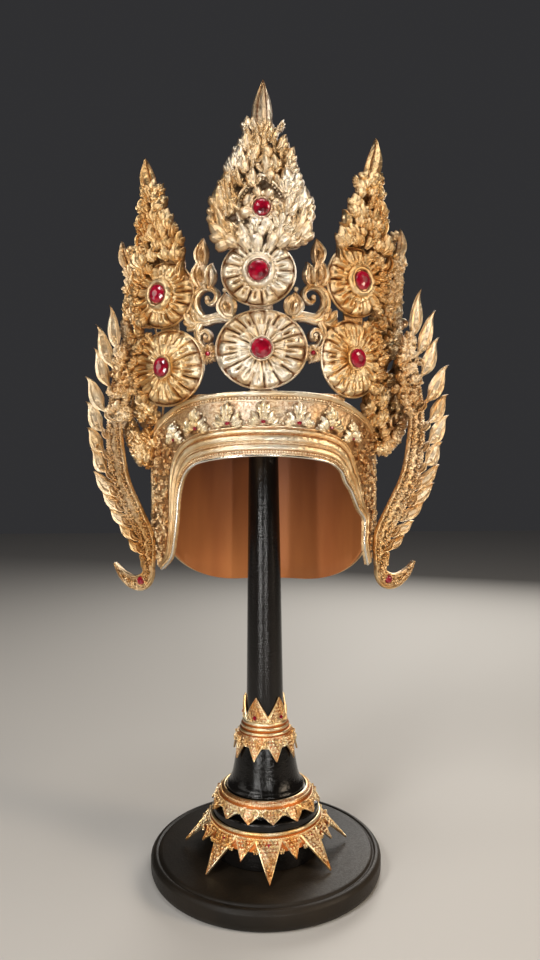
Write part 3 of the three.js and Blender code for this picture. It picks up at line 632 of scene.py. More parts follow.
def lineMesh(points, closed=False):
    mesh, count = bpy.data.meshes.new("line"), len(points)
    edges = [(i, (i + 1) % count) for i in range(count if closed else count - 1)]
    mesh.from_pydata([tuple(p) for p in points], edges, [])
    return mesh


def beadRow(points, radius, spacing, closed=False):
    return runTree(trees["beads"], lineMesh(points, closed), Bead_Radius=radius, Spacing=spacing)


def wire(points, radius, sides=8):
    return runTree(trees["wire"], lineMesh(points), Wire_Radius=radius, Sides=sides)


def petalRing(kind, count, inner, height, size, tilt, phase, seed, variation):
    return runTree(trees["petals"], bpy.data.meshes.new("none"), Kit=kit, Petal=kinds[kind], Petals=count,
                   Inner_Radius=inner, Height=height, Petal_Size=size, Tilt=tilt, Phase=phase,
                   Variation=variation, Seed=seed)


def fillArea(spray, low, high, inside, spacing, place, seed):
    # ornaments on a staggered grid, wherever inside(x, y); place(x, y, random) says which and how
    random = np.random.default_rng(seed)
    for r, y in enumerate(np.arange(low[1], high[1], spacing * 0.87)):
        for x in np.arange(low[0] + spacing / 2 * (r % 2), high[0], spacing):
            px, py = x + random.uniform(-0.16, 0.16) * spacing, y + random.uniform(-0.16, 0.16) * spacing
            if inside(px, py):
                kind, lift, heading, size, lean = place(px, py, random)
                spray.put(kind, (px, py, lift), heading, size, lean)


def edgeLobes(spray, line, spacing, size, rise, lift, seed):
    # lobes that follow a line with its outside on the right; rise turns them from outwards to up
    random, run = np.random.default_rng(seed), runAlong(line)
    for k, s in enumerate(np.arange(spacing * 0.3, run[-1], spacing)):
        (x, y), ahead, behind = (rowAt(np.clip(s + step, 0, run[-1]), run, line) for step in (0, 2, -2))
        outward = math.degrees(math.atan2(ahead[1] - behind[1], -(ahead[0] - behind[0])))
        heading = outward * (1 - rise) if abs(outward) < 150 else outward
        long, a = size[1] * random.uniform(0.88, 1.08), math.radians(heading)
        spray.put("paw" + ("R" if heading >= 0 else "L"),
                  (x - math.sin(a) * long, y - math.cos(a) * long, lift + 0.5 * (k % 2)), heading,
                  (size[0], long, size[2]), 8)


# materials

def makeSurfaceGroup():
    # broad and fine unevenness, shared by every finish: a slow mask, a fast mask and a height
    tree, given, result = newTree(
        "unevenSurface", "ShaderNodeTree",
        {"Broad Scale": 60.0, "Fine Scale": 500.0, "Crumple Scale": 260.0, "Crumple": 0.6,
         "Stretch": (1, 1, 1)}, {"Broad": "Float", "Fine": "Float", "Height": "Float"})
    where = addNode(tree, "ShaderNodeTexCoord")
    place = vectorCalc(tree, "MULTIPLY", where.outputs["Object"], given["Stretch"])
    broad = addNode(tree, "ShaderNodeTexNoise", Vector=place, Scale=given["Broad Scale"], Detail=3.0)
    fine = addNode(tree, "ShaderNodeTexNoise", Vector=place, Scale=given["Fine Scale"], Detail=4.0,
                   Roughness=0.6)
    folds = addNode(tree, "ShaderNodeTexVoronoi", {"feature": "SMOOTH_F1"}, Vector=place,
                    Scale=given["Crumple Scale"])
    creased = calc(tree, "MULTIPLY", folds.outputs["Distance"], given["Crumple"])
    tree.links.new(broad.outputs[0], result["Broad"])
    tree.links.new(fine.outputs[0], result["Fine"])
    tree.links.new(calc(tree, "ADD", creased, fine.outputs[0]), result["Height"])
    return tree


def makeReliefGroup():
    # how much of the metal is left out of the painted shade: 0 in the recesses, painted in shade, 1 on the
    # raised parts
    tree, given, result = newTree("recessMask", "ShaderNodeTree",
                                  {"Noise": 0.5, "From": 0.1, "To": 0.7, "Unevenness": 0.5},
                                  {"Unshaded": "Float"})
    stored = addNode(tree, "ShaderNodeAttribute", {"attribute_name": "relief"})
    middle = calc(tree, "SUBTRACT", given["Noise"], 0.5)
    swing = calc(tree, "MULTIPLY_ADD", middle, given["Unevenness"], stored.outputs["Fac"])
    unshaded = addNode(tree, "ShaderNodeMapRange", {"interpolation_type": "SMOOTHSTEP"}, Value=swing,
                    From_Min=given["From"], From_Max=given["To"])
    tree.links.new(unshaded.outputs[0], result["Unshaded"])
    return tree


surfaceGroup, reliefGroup = makeSurfaceGroup(), makeReliefGroup()


def newMaterial(name, **values):
    material = bpy.data.materials.new(name)
    material.use_nodes = True
    shader = next(n for n in material.node_tree.nodes if n.type == "BSDF_PRINCIPLED")
    for key, value in values.items():
        shader.inputs[key.replace("_", " ")].default_value = value
    return material, material.node_tree, shader


def placeGroup(tree, group, **values):
    return addNode(tree, "ShaderNodeGroup", {"node_tree": group}, **values).outputs


def mixColour(tree, factor, low, high):
    node = addNode(tree, "ShaderNodeMix", {"data_type": "RGBA"}, factor)
    for socket, value in ((node.inputs[6], low), (node.inputs[7], high)):
        if isinstance(value, bpy.types.NodeSocket):
            tree.links.new(value, socket)
        else:
            socket.default_value = (*value, 1)
    return node.outputs[2]


def rampValue(tree, value, low, high, fromMin=0.0, fromMax=1.0):
    return addNode(tree, "ShaderNodeMapRange", Value=value, From_Min=fromMin, From_Max=fromMax,
                   To_Min=low, To_Max=high).outputs[0]


def placeOnAxis(tree, axis):
    where = addNode(tree, "ShaderNodeTexCoord")
    return addNode(tree, "ShaderNodeSeparateXYZ", None, where.outputs["Object"]).outputs[axis]


def colourShader(tree, shader, colour, roughness=None, height=None, strength=0.0, depth=0.0):
    tree.links.new(colour, shader.inputs["Base Color"])
    if roughness:
        tree.links.new(roughness, shader.inputs["Roughness"])
    if height:
        bump = addNode(tree, "ShaderNodeBump", Height=height, Strength=strength, Distance=depth)
        tree.links.new(bump.outputs[0], shader.inputs["Normal"])


# pale: raised metal, warm: its deeper tone, both again for the sides of the head, browner there as painted
# shade, then the painted shade in the recesses; bright: the relief that counts as recess and as raised
golds = {
    "crownGold": {"pale": (0.93, 0.85, 0.72), "warm": (0.74, 0.57, 0.36), "recessShade": (0.27, 0.125, 0.05),
                  "side": (0.87, 0.655, 0.375), "sideWarm": (0.68, 0.42, 0.175), "smooth": 0.3, "dull": 0.52,
                  "broad": 34, "fine": 430, "crumple": 290, "depth": 0.0013, "strength": 0.6},
    "collarGold": {"pale": (1.0, 0.87, 0.60), "warm": (0.94, 0.62, 0.26), "recessShade": (0.52, 0.15, 0.03),
                   "bright": (-0.02, 0.44), "smooth": 0.3, "dull": 0.5,
                   "broad": 60, "fine": 700, "crumple": 330, "depth": 0.0007, "strength": 0.45},
    "bandGold": {"pale": (0.95, 0.85, 0.68), "warm": (0.80, 0.61, 0.37), "recessShade": (0.42, 0.19, 0.07),
                 "side": (0.89, 0.69, 0.42), "sideWarm": (0.73, 0.47, 0.22), "smooth": 0.3, "dull": 0.5,
                 "broad": 40, "fine": 500, "crumple": 300, "depth": 0.0011, "strength": 0.5},
    "flowerGold": {"pale": (0.99, 0.93, 0.81), "warm": (0.90, 0.78, 0.57), "recessShade": (0.33, 0.16, 0.07),
                   "side": (0.97, 0.88, 0.70), "sideWarm": (0.86, 0.70, 0.44), "smooth": 0.28, "dull": 0.45,
                   "broad": 60, "fine": 600, "crumple": 330, "depth": 0.0007, "strength": 0.45},
    "edgeWire": {"pale": (0.90, 0.86, 0.78), "warm": (0.76, 0.66, 0.50), "recessShade": (0.36, 0.26, 0.16),
                 "smooth": 0.2, "dull": 0.35,
                 "broad": 80, "fine": 500, "crumple": 200, "depth": 0.0003, "strength": 0.25},
}
# how far from the middle, in metres, the gold turns browner and darker, painted shade on the sides of the
# head where they turn from the front light, and then part of the way back
sideTurn, sideReturn = (0.025, 0.065), (0.103, 0.122)


def makeGold(name, row):
    row = {"bright": (0.02, 0.5), "side": row["pale"], "sideWarm": row["warm"], **row}
    material, tree, shader = newMaterial(name, Metallic=1.0)
    uneven = placeGroup(tree, surfaceGroup, Broad_Scale=row["broad"], Fine_Scale=row["fine"],
                        Crumple_Scale=row["crumple"], Crumple=0.8)
    low, high = row["bright"]
    unshaded = placeGroup(tree, reliefGroup, Noise=uneven["Fine"], From=low, To=high, Unevenness=0.9)[0]
    tone = rampValue(tree, uneven["Broad"], 0.0, 1.0, 0.38, 0.62)
    # painted shade: the metal browner and darker towards the sides of the head
    away = calc(tree, "ABSOLUTE", placeOnAxis(tree, "X"))
    side = calc(tree, "MULTIPLY", rampValue(tree, away, 0.0, 1.0, *sideTurn),
                rampValue(tree, away, 1.0, 0.6, *sideReturn))
    metal = mixColour(tree, tone, mixColour(tree, side, row["warm"], row["sideWarm"]),
                      mixColour(tree, side, row["pale"], row["side"]))
    # painted shade: the recess colour wherever the relief is low
    colourShader(tree, shader, mixColour(tree, unshaded, row["recessShade"], metal),
                 rampValue(tree, unshaded, row["dull"], row["smooth"]), uneven["Height"], row["strength"],
                 row["depth"])
    return material


def makeRuby():
    material, tree, shader = newMaterial("rubyGlass", Roughness=0.14, IOR=1.76, Coat_Weight=0.25)
    # the red turns brighter as the faces turn from the view: a painted reflection inside the stone
    facing = addNode(tree, "ShaderNodeLayerWeight", Blend=0.35)
    uneven = placeGroup(tree, surfaceGroup, Broad_Scale=160, Fine_Scale=500)
    deep = mixColour(tree, rampValue(tree, uneven["Broad"], 0.0, 1.0, 0.35, 0.65),
                     (0.10, 0.0, 0.004), (0.42, 0.0, 0.022))
    colourShader(tree, shader, mixColour(tree, facing.outputs["Facing"], deep, (0.5, 0.004, 0.04)))
    return material


lacquers = {
    # the turned upright is polished, the foot it stands on is matt with a little dust
    "blackLacquer": {"deep": (0.004, 0.0035, 0.003), "dust": (0.010, 0.008, 0.007), "smooth": 0.06,
                     "dull": 0.19, "gloss": 0.34, "bump": 0.55},
    "dustyLacquer": {"deep": (0.009, 0.0065, 0.004), "dust": (0.030, 0.021, 0.013), "smooth": 0.38,
                     "dull": 0.56, "gloss": 0.25, "bump": 0.3},
}


def makeLacquer(name, row):
    material, tree, shader = newMaterial(name, Specular_IOR_Level=row["gloss"])
    uneven = placeGroup(tree, surfaceGroup, Broad_Scale=14, Fine_Scale=700, Crumple_Scale=420, Crumple=0.5)
    dust = rampValue(tree, uneven["Broad"], 0.0, 1.0, 0.35, 0.75)
    colourShader(tree, shader, mixColour(tree, dust, row["deep"], row["dust"]),
                 rampValue(tree, uneven["Fine"], row["smooth"], row["dull"], 0.3, 0.7), uneven["Height"],
                 row["bump"], 0.0004)
    return material


def makeLeather():
    # paler towards its lower end
    material, tree, shader = newMaterial("liningLeather")
    uneven = placeGroup(tree, surfaceGroup, Broad_Scale=16, Fine_Scale=900, Crumple_Scale=700, Crumple=0.5,
                        Stretch=(1.4, 1.4, 0.25))
    low = rampValue(tree, placeOnAxis(tree, "Z"), 1.0, 0.0, 0.26, 0.36)
    streak = rampValue(tree, uneven["Broad"], 0.0, 1.0, 0.35, 0.65)
    upper = mixColour(tree, streak, (0.17, 0.048, 0.013), (0.29, 0.09, 0.024))
    lower = mixColour(tree, streak, (0.47, 0.145, 0.034), (0.66, 0.24, 0.065))
    colourShader(tree, shader, mixColour(tree, low, upper, lower),
                 rampValue(tree, uneven["Fine"], 0.5, 0.72), uneven["Height"], 0.3, 0.0003)
    return material


finishes = {name: makeGold(name, row) for name, row in golds.items()}
finishes.update({name: makeLacquer(name, row) for name, row in lacquers.items()})
finishes.update(rubyGlass=makeRuby(), liningLeather=makeLeather())
print("materials ready")


# the stand

def softened(profile, radius):
    # corners of a profile rounded off; rows on the axis stay
    out, rows = [], np.array(profile, float)
    for before, row, after in zip(np.roll(rows, 1, 0), rows, np.roll(rows, -1, 0)):
        a, b = np.linalg.norm(before - row), np.linalg.norm(after - row)
        if row[0] < 1e-6 or min(a, b) < 1e-6:
            out.append(row)
            continue
        cut = min(radius, a * 0.45, b * 0.45)
        start, end = row + (before - row) / a * cut, row + (after - row) / b * cut
        for t in (0, 0.5, 1):
            out.append((1 - t) ** 2 * start + 2 * t * (1 - t) * row + t * t * end)
    return np.array(out)


stand = {
    "segments": 128,
    "round": 0.9,
    "stand_base": [(0, 0), (98, 0), (100, 2), (101, 5), (101, 14), (98.6, 16.8), (96, 17.2), (95, 16.2),
                   (94, 16.2), (93, 17.4), (91.5, 18), (0, 18)],
    "stand_drum": [(0, 18.3), (48.4, 18.3), (48.2, 24), (47.8, 34), (45.6, 42.6),
                   (46.4, 43.6), (46.6, 54.8), (45.8, 56), (38, 56), (38, 70), (0, 70)],
    "stand_bell": [(0, 70.3), (33.4, 70.3), (34.4, 71.4), (34.4, 72.6), (33.4, 74.2), (31.6, 76), (30.2, 79),
                   (29, 83), (27.8, 89), (26.8, 95), (25.6, 101), (23.4, 111), (21, 117), (16.9, 121),
                   (16.9, 124), (0, 124)],
    "stand_pole": [(0, 124.3), (16.6, 124.3), (16.1, 155), (15.1, 230), (14.1, 300), (13.1, 365.7),
                   (0, 365.7)],
}


def easeEdges(bm):
    # flat faces joined, edges bevelled
    bmesh.ops.remove_doubles(bm, verts=bm.verts, dist=1e-6)
    bmesh.ops.dissolve_limit(bm, angle_limit=math.radians(1), verts=bm.verts, edges=bm.edges)
    sharp = [e for e in bm.edges if e.calc_face_angle(0) > math.radians(40)]
    bmesh.ops.bevel(bm, geom=sharp, offset=0.0008, segments=2, affect="EDGES", clamp_overlap=True)
    bmesh.ops.triangulate(bm, faces=[f for f in bm.faces if len(f.verts) > 4])


def addStand():
    for node in ("stand_base", "stand_drum", "stand_bell", "stand_pole"):
        clay = Clay().lathe(softened(stand[node], stand["round"]), stand["segments"])
        finishPiece(node + "_turned", clay.mesh(node, 30), Matrix(),
                    "dustyLacquer" if node == "stand_base" else "blackLacquer", node)
    # the rest keeps its cast shape
    mesh = reworked(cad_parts["head_rest"].data.copy(), easeEdges)
    mesh.shade_smooth()
    mesh.set_sharp_from_angle(angle=math.radians(40))
    finishPiece("head_rest_arms", mesh, Matrix.Scale(1000, 4), "blackLacquer", "head_rest")
    print("stand turned")


# the gilded collars: a moulded ring and rows of teeth, with their roots and tips as (radius, height);
# rings of beads as radius, height and size; rings of flowers as radius, height, count, turn and size

collars = {
    "star_collar": {
        "section": [(47.1, 43.4), (48.4, 42.6), (49.8, 43.6), (49.9, 45.4), (49, 46.4), (48.6, 47.2),
                    (49, 48), (48.8, 49.4), (48.2, 50), (47.1, 50.2)],
        "teeth": [
            {"count": 8, "turn": 2.6, "root": (48, 44.6), "tip": (71.4, 19.6), "width": 25, "thick": 1.7},
            {"count": 8, "turn": 25.1, "root": (48, 44.4), "tip": (59.4, 31.4), "width": 20, "thick": 1.6},
        ],
        # a sloping skirt from the ring to the roots of the spikes
        "skirt": [(47.2, 44.8), (49.2, 44.8), (52.6, 40.2), (54.6, 37.6), (54, 37), (47.2, 43.6)],
        "beads": [(50, 45.4, 0.9)],
        "flowers": [(54.8, 38.4, 16, 2.6, 5.4), (51.8, 42, 28, 0, 3.4)],
    },
    "fringe_collar": {
        "section": [(38.3, 63.4), (40.9, 62.8), (41.8, 63.8), (41.9, 65.4), (41.2, 66.4), (40.6, 67.4),
                    (40, 68.8), (38.8, 70.2), (37.4, 71.3), (36.2, 71.7), (35.6, 71), (35.6, 70.3),
                    (38.3, 70.3)],
        "teeth": [
            {"count": 14, "turn": 7.5, "root": (40.6, 65.8), "tip": (47.4, 55.9), "width": 31, "thick": 1.4},
        ],
        "beads": [(42.2, 65.6, 0.9), (39.8, 69.4, 0.7)],
        "flowers": [(43.4, 63.4, 14, 7.5, 4.4), (42.6, 64.6, 28, 7.5, 2.8)],
    },
    "crown_collar": {
        "section": [(24, 110.4), (25.2, 110.2), (25.3, 111.8), (24.9, 114.6), (23.5, 118.2), (22.6, 119.8),
                    (23, 121), (22.6, 122.2), (21.4, 122.8), (20.9, 123.6), (21.5, 124.6), (21.4, 126),
                    (20.3, 126.9), (19.9, 127.6), (20.1, 128.6), (19.6, 130), (17.3, 130.6), (17.3, 121.6),
                    (21.6, 117.5)],
        "teeth": [
            {"count": 5, "turn": 45, "root": (17.6, 129.4), "tip": (16.9, 151.4), "width": 30, "thick": 1.3},
            {"count": 9, "turn": 20, "root": (23.2, 119.4), "tip": (27.8, 99.4), "width": 21.6, "thick": 1.5},
        ],
        "beads": [(23.6, 118.6, 0.8), (19.4, 131, 0.8)],
        "flowers": [(25.8, 114, 9, 20, 6.4), (25, 116.6, 18, 10, 3.2)],
    },
}


def ringRelief(section):
    # high on the outward corners of a moulding and low in its hollows, where the gold is painted in shade
    rows = np.array(section, float)
    before, after = rows - np.roll(rows, 1, 0), np.roll(rows, -1, 0) - rows
    turn = before[:, 0] * after[:, 1] - before[:, 1] * after[:, 0]
    turn /= np.linalg.norm(before, axis=1) * np.linalg.norm(after, axis=1)
    return np.repeat(np.clip(0.02 + 0.6 * turn, -0.1, 1), 3)


def wrapRound(angle):
    # bends a flat tooth round the ring that it hangs from
    a = math.radians(angle)

    def bend(points):
        x, y, z = points.T
        out, across = x * math.sin(a) - y * math.cos(a), x * math.cos(a) + y * math.sin(a)
        around = a + across / out
        return np.column_stack([out * np.sin(around), -out * np.cos(around), z])

    return bend


# filigree on the face of a tooth: its rows and their distance from the edge, height and sizes
filigree = {"pitch": 2.9, "edge": 2.0, "high": 1.5, "grain": 2.2, "floret": 3.7}


def addTooth(clay, row, i):
    spray, angle = Spray(), row["turn"] + 360 / row["count"] * i
    rise = 0.3 * (i % 2)    # neighbours overlap without touching face to face
    (r1, h1), (r2, h2) = row["root"], row["tip"]
    length = math.hypot(r2 - r1, h2 - h1)
    root, tip = Vector(onRing(r1 + rise, angle, h1)), Vector(onRing(r2 + rise, angle, h2))
    out = Vector(onRing(1, angle, 0)) * abs(h2 - h1) + Vector((0, 0, abs(r2 - r1)))
    spray.stand("tooth", root, tip - root, out, (row["width"], length, row["thick"]))
    face, pitch = out.normalized(), filigree["pitch"]
    across, lift = (tip - root).normalized().cross(face), face * row["thick"] * 0.55
    for k in range(1, int(length / pitch)):
        t = k * pitch / length
        room = row["width"] * (1 - t) / 2 - filigree["edge"]
        count = int(2 * room / pitch) + 1 if room > 0 else 0
        for m in range(count):
            kind, aside = "grain" if (k + m) % 3 else "floret", across * (m - (count - 1) / 2) * pitch
            spray.stand(kind, root.lerp(tip, t) + aside + lift, tip - root, out,
                        (filigree[kind], filigree[kind], filigree["high"]))
    clay.addMesh(spray.mesh(0.05, 0.03, 7 + i), bend=wrapRound(angle))


# small stones on two of the collars: count, first turn, radius, height and size
collarStones = [(5, 45, 19.3, 134.4, 1.9), (8, 2.6, 51.4, 41.6, 1.4)]


def addCollars():
    for name, collar in collars.items():
        clay = Clay().lathe(softened(collar["section"], 0.5), 96, ringRelief(collar["section"]))
        if "skirt" in collar:
            # the skirt gets no relief, so it is painted all in shade
            clay.lathe(softened(collar["skirt"], 0.3), 96, 0.0)
        for row in collar["teeth"]:
            for i in range(row["count"]):
                addTooth(clay, row, i)
        spray = Spray()
        for radius, height, count, first, size in collar["flowers"]:
            for i in range(count):
                angle = first + 360 / count * (i + 0.5)
                spray.stand("floret", onRing(radius, angle, height), (0, 0, 1), onRing(1, angle, 0.4),
                            (size, size, 2.4))
        clay.addMesh(spray.mesh(0.05, 0.03, 7))
        for radius, height, size in collar["beads"]:
            ring = [onRing(radius - size * 0.6, a, height) for a in range(0, 360, 4)]
            clay.addMesh(beadRow(ring, size, size * 2.3, closed=True))
        finishPiece(name + "_cast", clay.mesh(name), Matrix(), "collarGold", name)
    stones = Clay()
    for count, turn, radius, height, size in collarStones:
        for i in range(count):
            angle = turn + 360 / count * i
            face = Vector(onRing(1, angle, 0.3)).to_track_quat("Z", "Y").to_matrix().to_4x4()
            stones.lathe([(0, 0), (size * 0.9, 0), (size, 0.5), (size * 0.6, 1.3), (0, 1.3)], 8,
                         turn=Matrix.Translation(onRing(radius, angle, height)) @ face)
    finishPiece("collar_stones", stones.mesh("collar_stones", 8), Matrix(), "rubyGlass")
    print("collars cast")


addStand()
addCollars()


# rosettes and stones: a domed dish of pleated petals in two tiers, a bezel and a cut stone

rosette = {
    "seat": 9.2, "stoneRadius": 7.8, "bezelRadius": 11.4,
    "rim": 0.965,           # share of the radius where the petals end and the rim begins
    "pleat": 5.4, "tongue": 4.0,    # how high the outer petals and the inner tongues stand
    "perPetal": 14, "rows": 38,
    "dome": {True: 4.608, False: 5.04},      # rise of the dish under smooth petals and under long tongues
    "tongueEnd": {True: 0.6, False: 0.63},
    "wave": 0.16,           # height of loose waves that keep the casting from looking turned
    # leaves over the rim of the outer rosettes: how many, first bearing, step, and the size of each
    "leaves": 11, "bearing": 28, "leafStep": 11.5, "leafSize": (8.4, 9.6, 4.6),
}
# plane, side, where its middle stands, radius, how much wider than high, smooth or with long inner
# tongues, petals, tongues and seed
rosettes = {
    "centre_lower": ("centre", 1, (-1, 442.6), 31, 1.15, False, 17, 13, 3),
    "centre_upper": ("centre", 1, (-3, 501), 26, 1.115, True, 13, 13, 5),
    "left_lower": ("column", -1, (28.3, 432.6), 31.2, 1.19, False, 17, 13, 8),
    "left_upper": ("column", -1, (32, 491.5), 27, 1.17, True, 14, 14, 11),
    "right_lower": ("column", 1, (21.5, 438.2), 31.4, 1, False, 17, 13, 14),
    "right_upper": ("column", 1, (26.5, 500.5), 28.5, 1.06, True, 14, 14, 17),
}
# sections of the ring round the stone
bezels = {
    True: [(8.1, 9.3), (8.3, 10.5), (9.1, 11.4), (10.4, 11.5), (11.8, 10.6), (12.9, 8.9), (13.1, 7),
           (12, 5.6), (8.1, 5.6)],
    False: [(8.1, 9.3), (8.3, 10.2), (8.8, 10.6), (9.4, 10.3), (9.7, 9), (9.7, 6), (8.1, 5.6)],
}


def cutStone(radius, seat, height=4.1, facets=12):
    # rings of facets, each turned half a step from the last, between a flat back and a flat table
    points, faces = [], []
    for share, up, phase in ((0.82, 0.3, 0), (1, 1.1, 0.5), (0.98, 1.5, 0.5), (0.88, height * 0.64, 1),
                             (0.66, height * 0.86, 1.5), (0.34, height, 2)):
        for i in range(facets):
            a = 2 * math.pi * (i + phase / 2) / facets
            points.append((radius * share * math.cos(a), radius * share * math.sin(a), seat + up))
    last = len(points) - facets
    for low in range(0, last, facets):
        for i in range(facets):
            a, b, over = low + i, low + (i + 1) % facets, facets
            faces.extend([(a, b, a + over), (b, b + over, a + over)])
    return Clay().add(points, [tuple(reversed(range(facets))), *faces, tuple(range(last, len(points)))])


def addStone(name, radius, seat, turn, *cut):
    finishPiece(name + "_cut", cutStone(radius, seat, *cut).mesh(name, 4), turn, "rubyGlass", name)


def petalTier(reach, angle, count, first, last, crease, random):
    # height from 0 to 1 of a ring of petals between two radii; each has two folds, a crease between
    # them that stops short of its rounded end, and its own width and length
    swing = sum(random.uniform(-0.5, 0.5) / (k * count) * np.sin(k * angle + random.uniform(0, 6.28))
                for k in (1, 2, 3, 5, 8, 13))
    place = (angle + swing * 1.6) * count / (2 * math.pi)
    index = np.floor(place).astype(int) % count
    across = 2 * (place - np.floor(place)) - 1
    long = random.uniform(0.93, 1.03, count)[index]
    high = random.uniform(0.8, 1.12, count)[index]
    skew = random.uniform(-0.22, 0.22, count)[index]
    deep = random.uniform(0.7, 1.25, count)[index] * crease
    t = np.clip((reach - first) / ((last - first) * long), 0, 1.2)
    end = np.sqrt(np.clip(1 - np.clip((t - 0.72) / 0.28, 0, 1) ** 2.2 - 0.35 * (t > 0.72)
                          * across ** 2 * ((t - 0.72) / 0.28), 0, 1))
    fold = np.clip(1 - np.abs(across) ** 3, 0, 1) ** 0.62
    groove = deep * np.exp(-((across - skew) / 0.26) ** 2) * np.clip((0.86 - t) / 0.22, 0, 1)
    rise = 0.5 + 0.5 * np.clip(t / 0.5, 0, 1)
    return high * rise * end * (fold - groove * fold)


def addRosette(name, plane, side, middle, radius, squash, smooth, petals, tongues, seed):
    seat, bezel, random = rosette["seat"], rosette["bezelRadius"], np.random.default_rng(seed)
    collar = bezel + 0.9 if smooth else 8.9
    steps = petals * rosette["perPetal"]
    angle = np.linspace(0, 2 * math.pi, steps, endpoint=False)[None, :]
    share = np.linspace(0, 1, rosette["rows"])[:, None] ** 0.9
    reach = collar + (radius * 0.985 - collar) * share + 0 * angle
    rim = radius * rosette["rim"]
    fall = np.sqrt(np.clip(1 - (reach / (radius * 1.02)) ** 2.6, 0, 1))
    dome = 2.0 + rosette["dome"][smooth] * fall
    outer = petalTier(reach, angle, petals, radius * 0.3, rim, 0.62, random)
    inner = petalTier(reach, angle + 0.12, tongues, collar - 1.5, radius * rosette["tongueEnd"][smooth],
                      0.42, random)
    roll = np.sqrt(np.clip(1 - ((reach / radius - 0.972) / 0.024) ** 2, 0, 1))
    relief = np.maximum(rosette["pleat"] * outer, (1.6 + rosette["tongue"] * inner) * (inner > 0.02))
    height = np.maximum(dome - 3.4 + relief, 1.2 + 1.5 * roll)
    height = np.minimum(height, seat + 1.6)
    shade = np.clip(np.maximum(np.maximum(outer, inner * 1.05), roll * 0.7) ** 1.2, 0, 1)
    height += rosette["wave"] * np.sin(reach * 0.9 + 3 * np.sin(angle * 3)) * np.clip(shade, 0, 1)

    def ring(r, h):
        wide = 1 + (squash - 1) * smoothStep(bezel + 1, radius, r)
        return np.stack([r * np.cos(angle) * wide, r * np.sin(angle), h + 0 * angle * r], 2)

    rings = np.concatenate([ring(5, seat - 0.6), ring(collar - 0.8, seat - 0.6), ring(reach, height),
                            ring(radius, 1.4), ring(radius * 0.985, 0.4), ring(radius * 0.93, 0)])
    shades = np.vstack([np.full((2, steps), 0.3), shade, np.full((1, steps), 0.9), np.full((2, steps), 0.3)])
    clay = Clay().loft(rings, shades)
    clay.lathe(softened(bezels[smooth], 0.5), 64)
    clay.lathe([(0, 9.35), (8.3, 9.35), (8.3, 8.6), (0, 8.6)], 32, 0.5)
    if plane == "column":
        # small leaves lap over the rim on its outer side
        spray = Spray(side)
        for i in range(rosette["leaves"]):
            bearing = random.uniform(-5, 5) + rosette["bearing"] + rosette["leafStep"] * i
            a, reach = math.radians(bearing), radius - (2.5 if i % 2 else 5.5)
            spray.put(("palm", "pawR", "palm", "pawL")[i % 4],
                      (reach * math.sin(a) * squash, reach * math.cos(a), 2.2 if i % 2 else 3.6),
                      bearing * 0.8 + random.uniform(-20, 20), rosette["leafSize"], 2)
        clay.addMesh(spray.mesh(0.1, 0.1, seed))
    turn = uprightPlane(*planes[plane], side) @ Matrix.Translation((side * middle[0], middle[1], 0.3))
    finishPiece(name + "_petals", clay.mesh(name, 60), turn, "crownGold", name + "_rosette")
    addStone(name + "_stone", rosette["stoneRadius"], seat, turn)


for name, row in rosettes.items():
    addRosette(name, *row)
print("rosettes set")


# finials: a back plate under a field of puffed lobes, pointed lobes round its edge and a spear

finials = {
    "centre": {
        "plane": "centre", "side": 1, "neck": (-10, 8), "tongue": (-11, 11, 396), "neckTop": 412,
        # the height and the inner and outer edge at some levels, from its foot up
        "edge": [(523, -33, 33), (535, -40, 39), (548, -42, 41), (562, -38, 37), (574, -32, 31),
                 (588, -25, 24), (602, -18.5, 17.5), (613, -13.5, 14)],
        "lobes": [(530, 17, 68), (541, 20, 46), (554, 21, 24), (567, 19, 16), (580, 17.5, 13), (592, 16, 11),
                  (603, 14, 9)],   # height of a pair of tips, its length and lean outwards
        "spear": (617, -7, 7), "tip": (0, 647.2), "clear": 524, "seed": 21,
        "spacing": 9.4, "lump": (12, 15),
    },
    "left": {
        "plane": "column", "side": -1, "neck": (20, 38), "tongue": (-8, 13, 390), "neckTop": 410,
        "edge": [(506, 8, 62), (519, 7, 64), (534, 12, 61), (549, 18, 57), (564, 26, 56), (578, 33, 54.5)],
        "lobes": [(519, 19, 22), (534, 18, 14), (548, 17, 10), (562, 15, 8), (576, 14, 6)],
        "spear": (584, 39.5, 53.5), "tip": (52, 606), "clear": 517, "seed": 22,
        "spacing": 9.2, "lump": (10, 12.8),
    },
    "right": {
        "plane": "column", "side": 1, "neck": (17, 36), "tongue": (-8, 13, 390), "neckTop": 410,
        "edge": [(515, 5, 60), (529, 4, 64), (544, 8, 60), (559, 13, 56), (574, 23, 53), (587, 31, 52.5)],
        "lobes": [(529, 19, 22), (544, 18, 14), (558, 17, 10), (572, 15, 8), (586, 14, 6)],
        "spear": (593, 37.5, 52.5), "tip": (48.5, 619), "clear": 526, "seed": 23,
        "spacing": 9.2, "lump": (10, 12.8),
    },
}
finialCast = {
    # back, front and edge of the plate, its share of relief, low so that the plate behind the leaves is
    # painted in shade, and how far it stays inside the leaves
    "plate": (-3.0, -0.4, 0.6), "plateRelief": 0.25, "inset": 6.0,
    "lobeWide": 0.74, "lobeHigh": 6.4, "lean": 9,
    # the field: the share of the width that it covers, how high it rises in the middle, how far its
    # ornaments turn outwards at its edge and swing at random, and how wide one may be
    "field": 0.74, "rise": 3.2, "turn": 38, "swing": 16, "room": 0.36,
    "stoneRoom": 3.5,       # clear of the crest round its stone
}
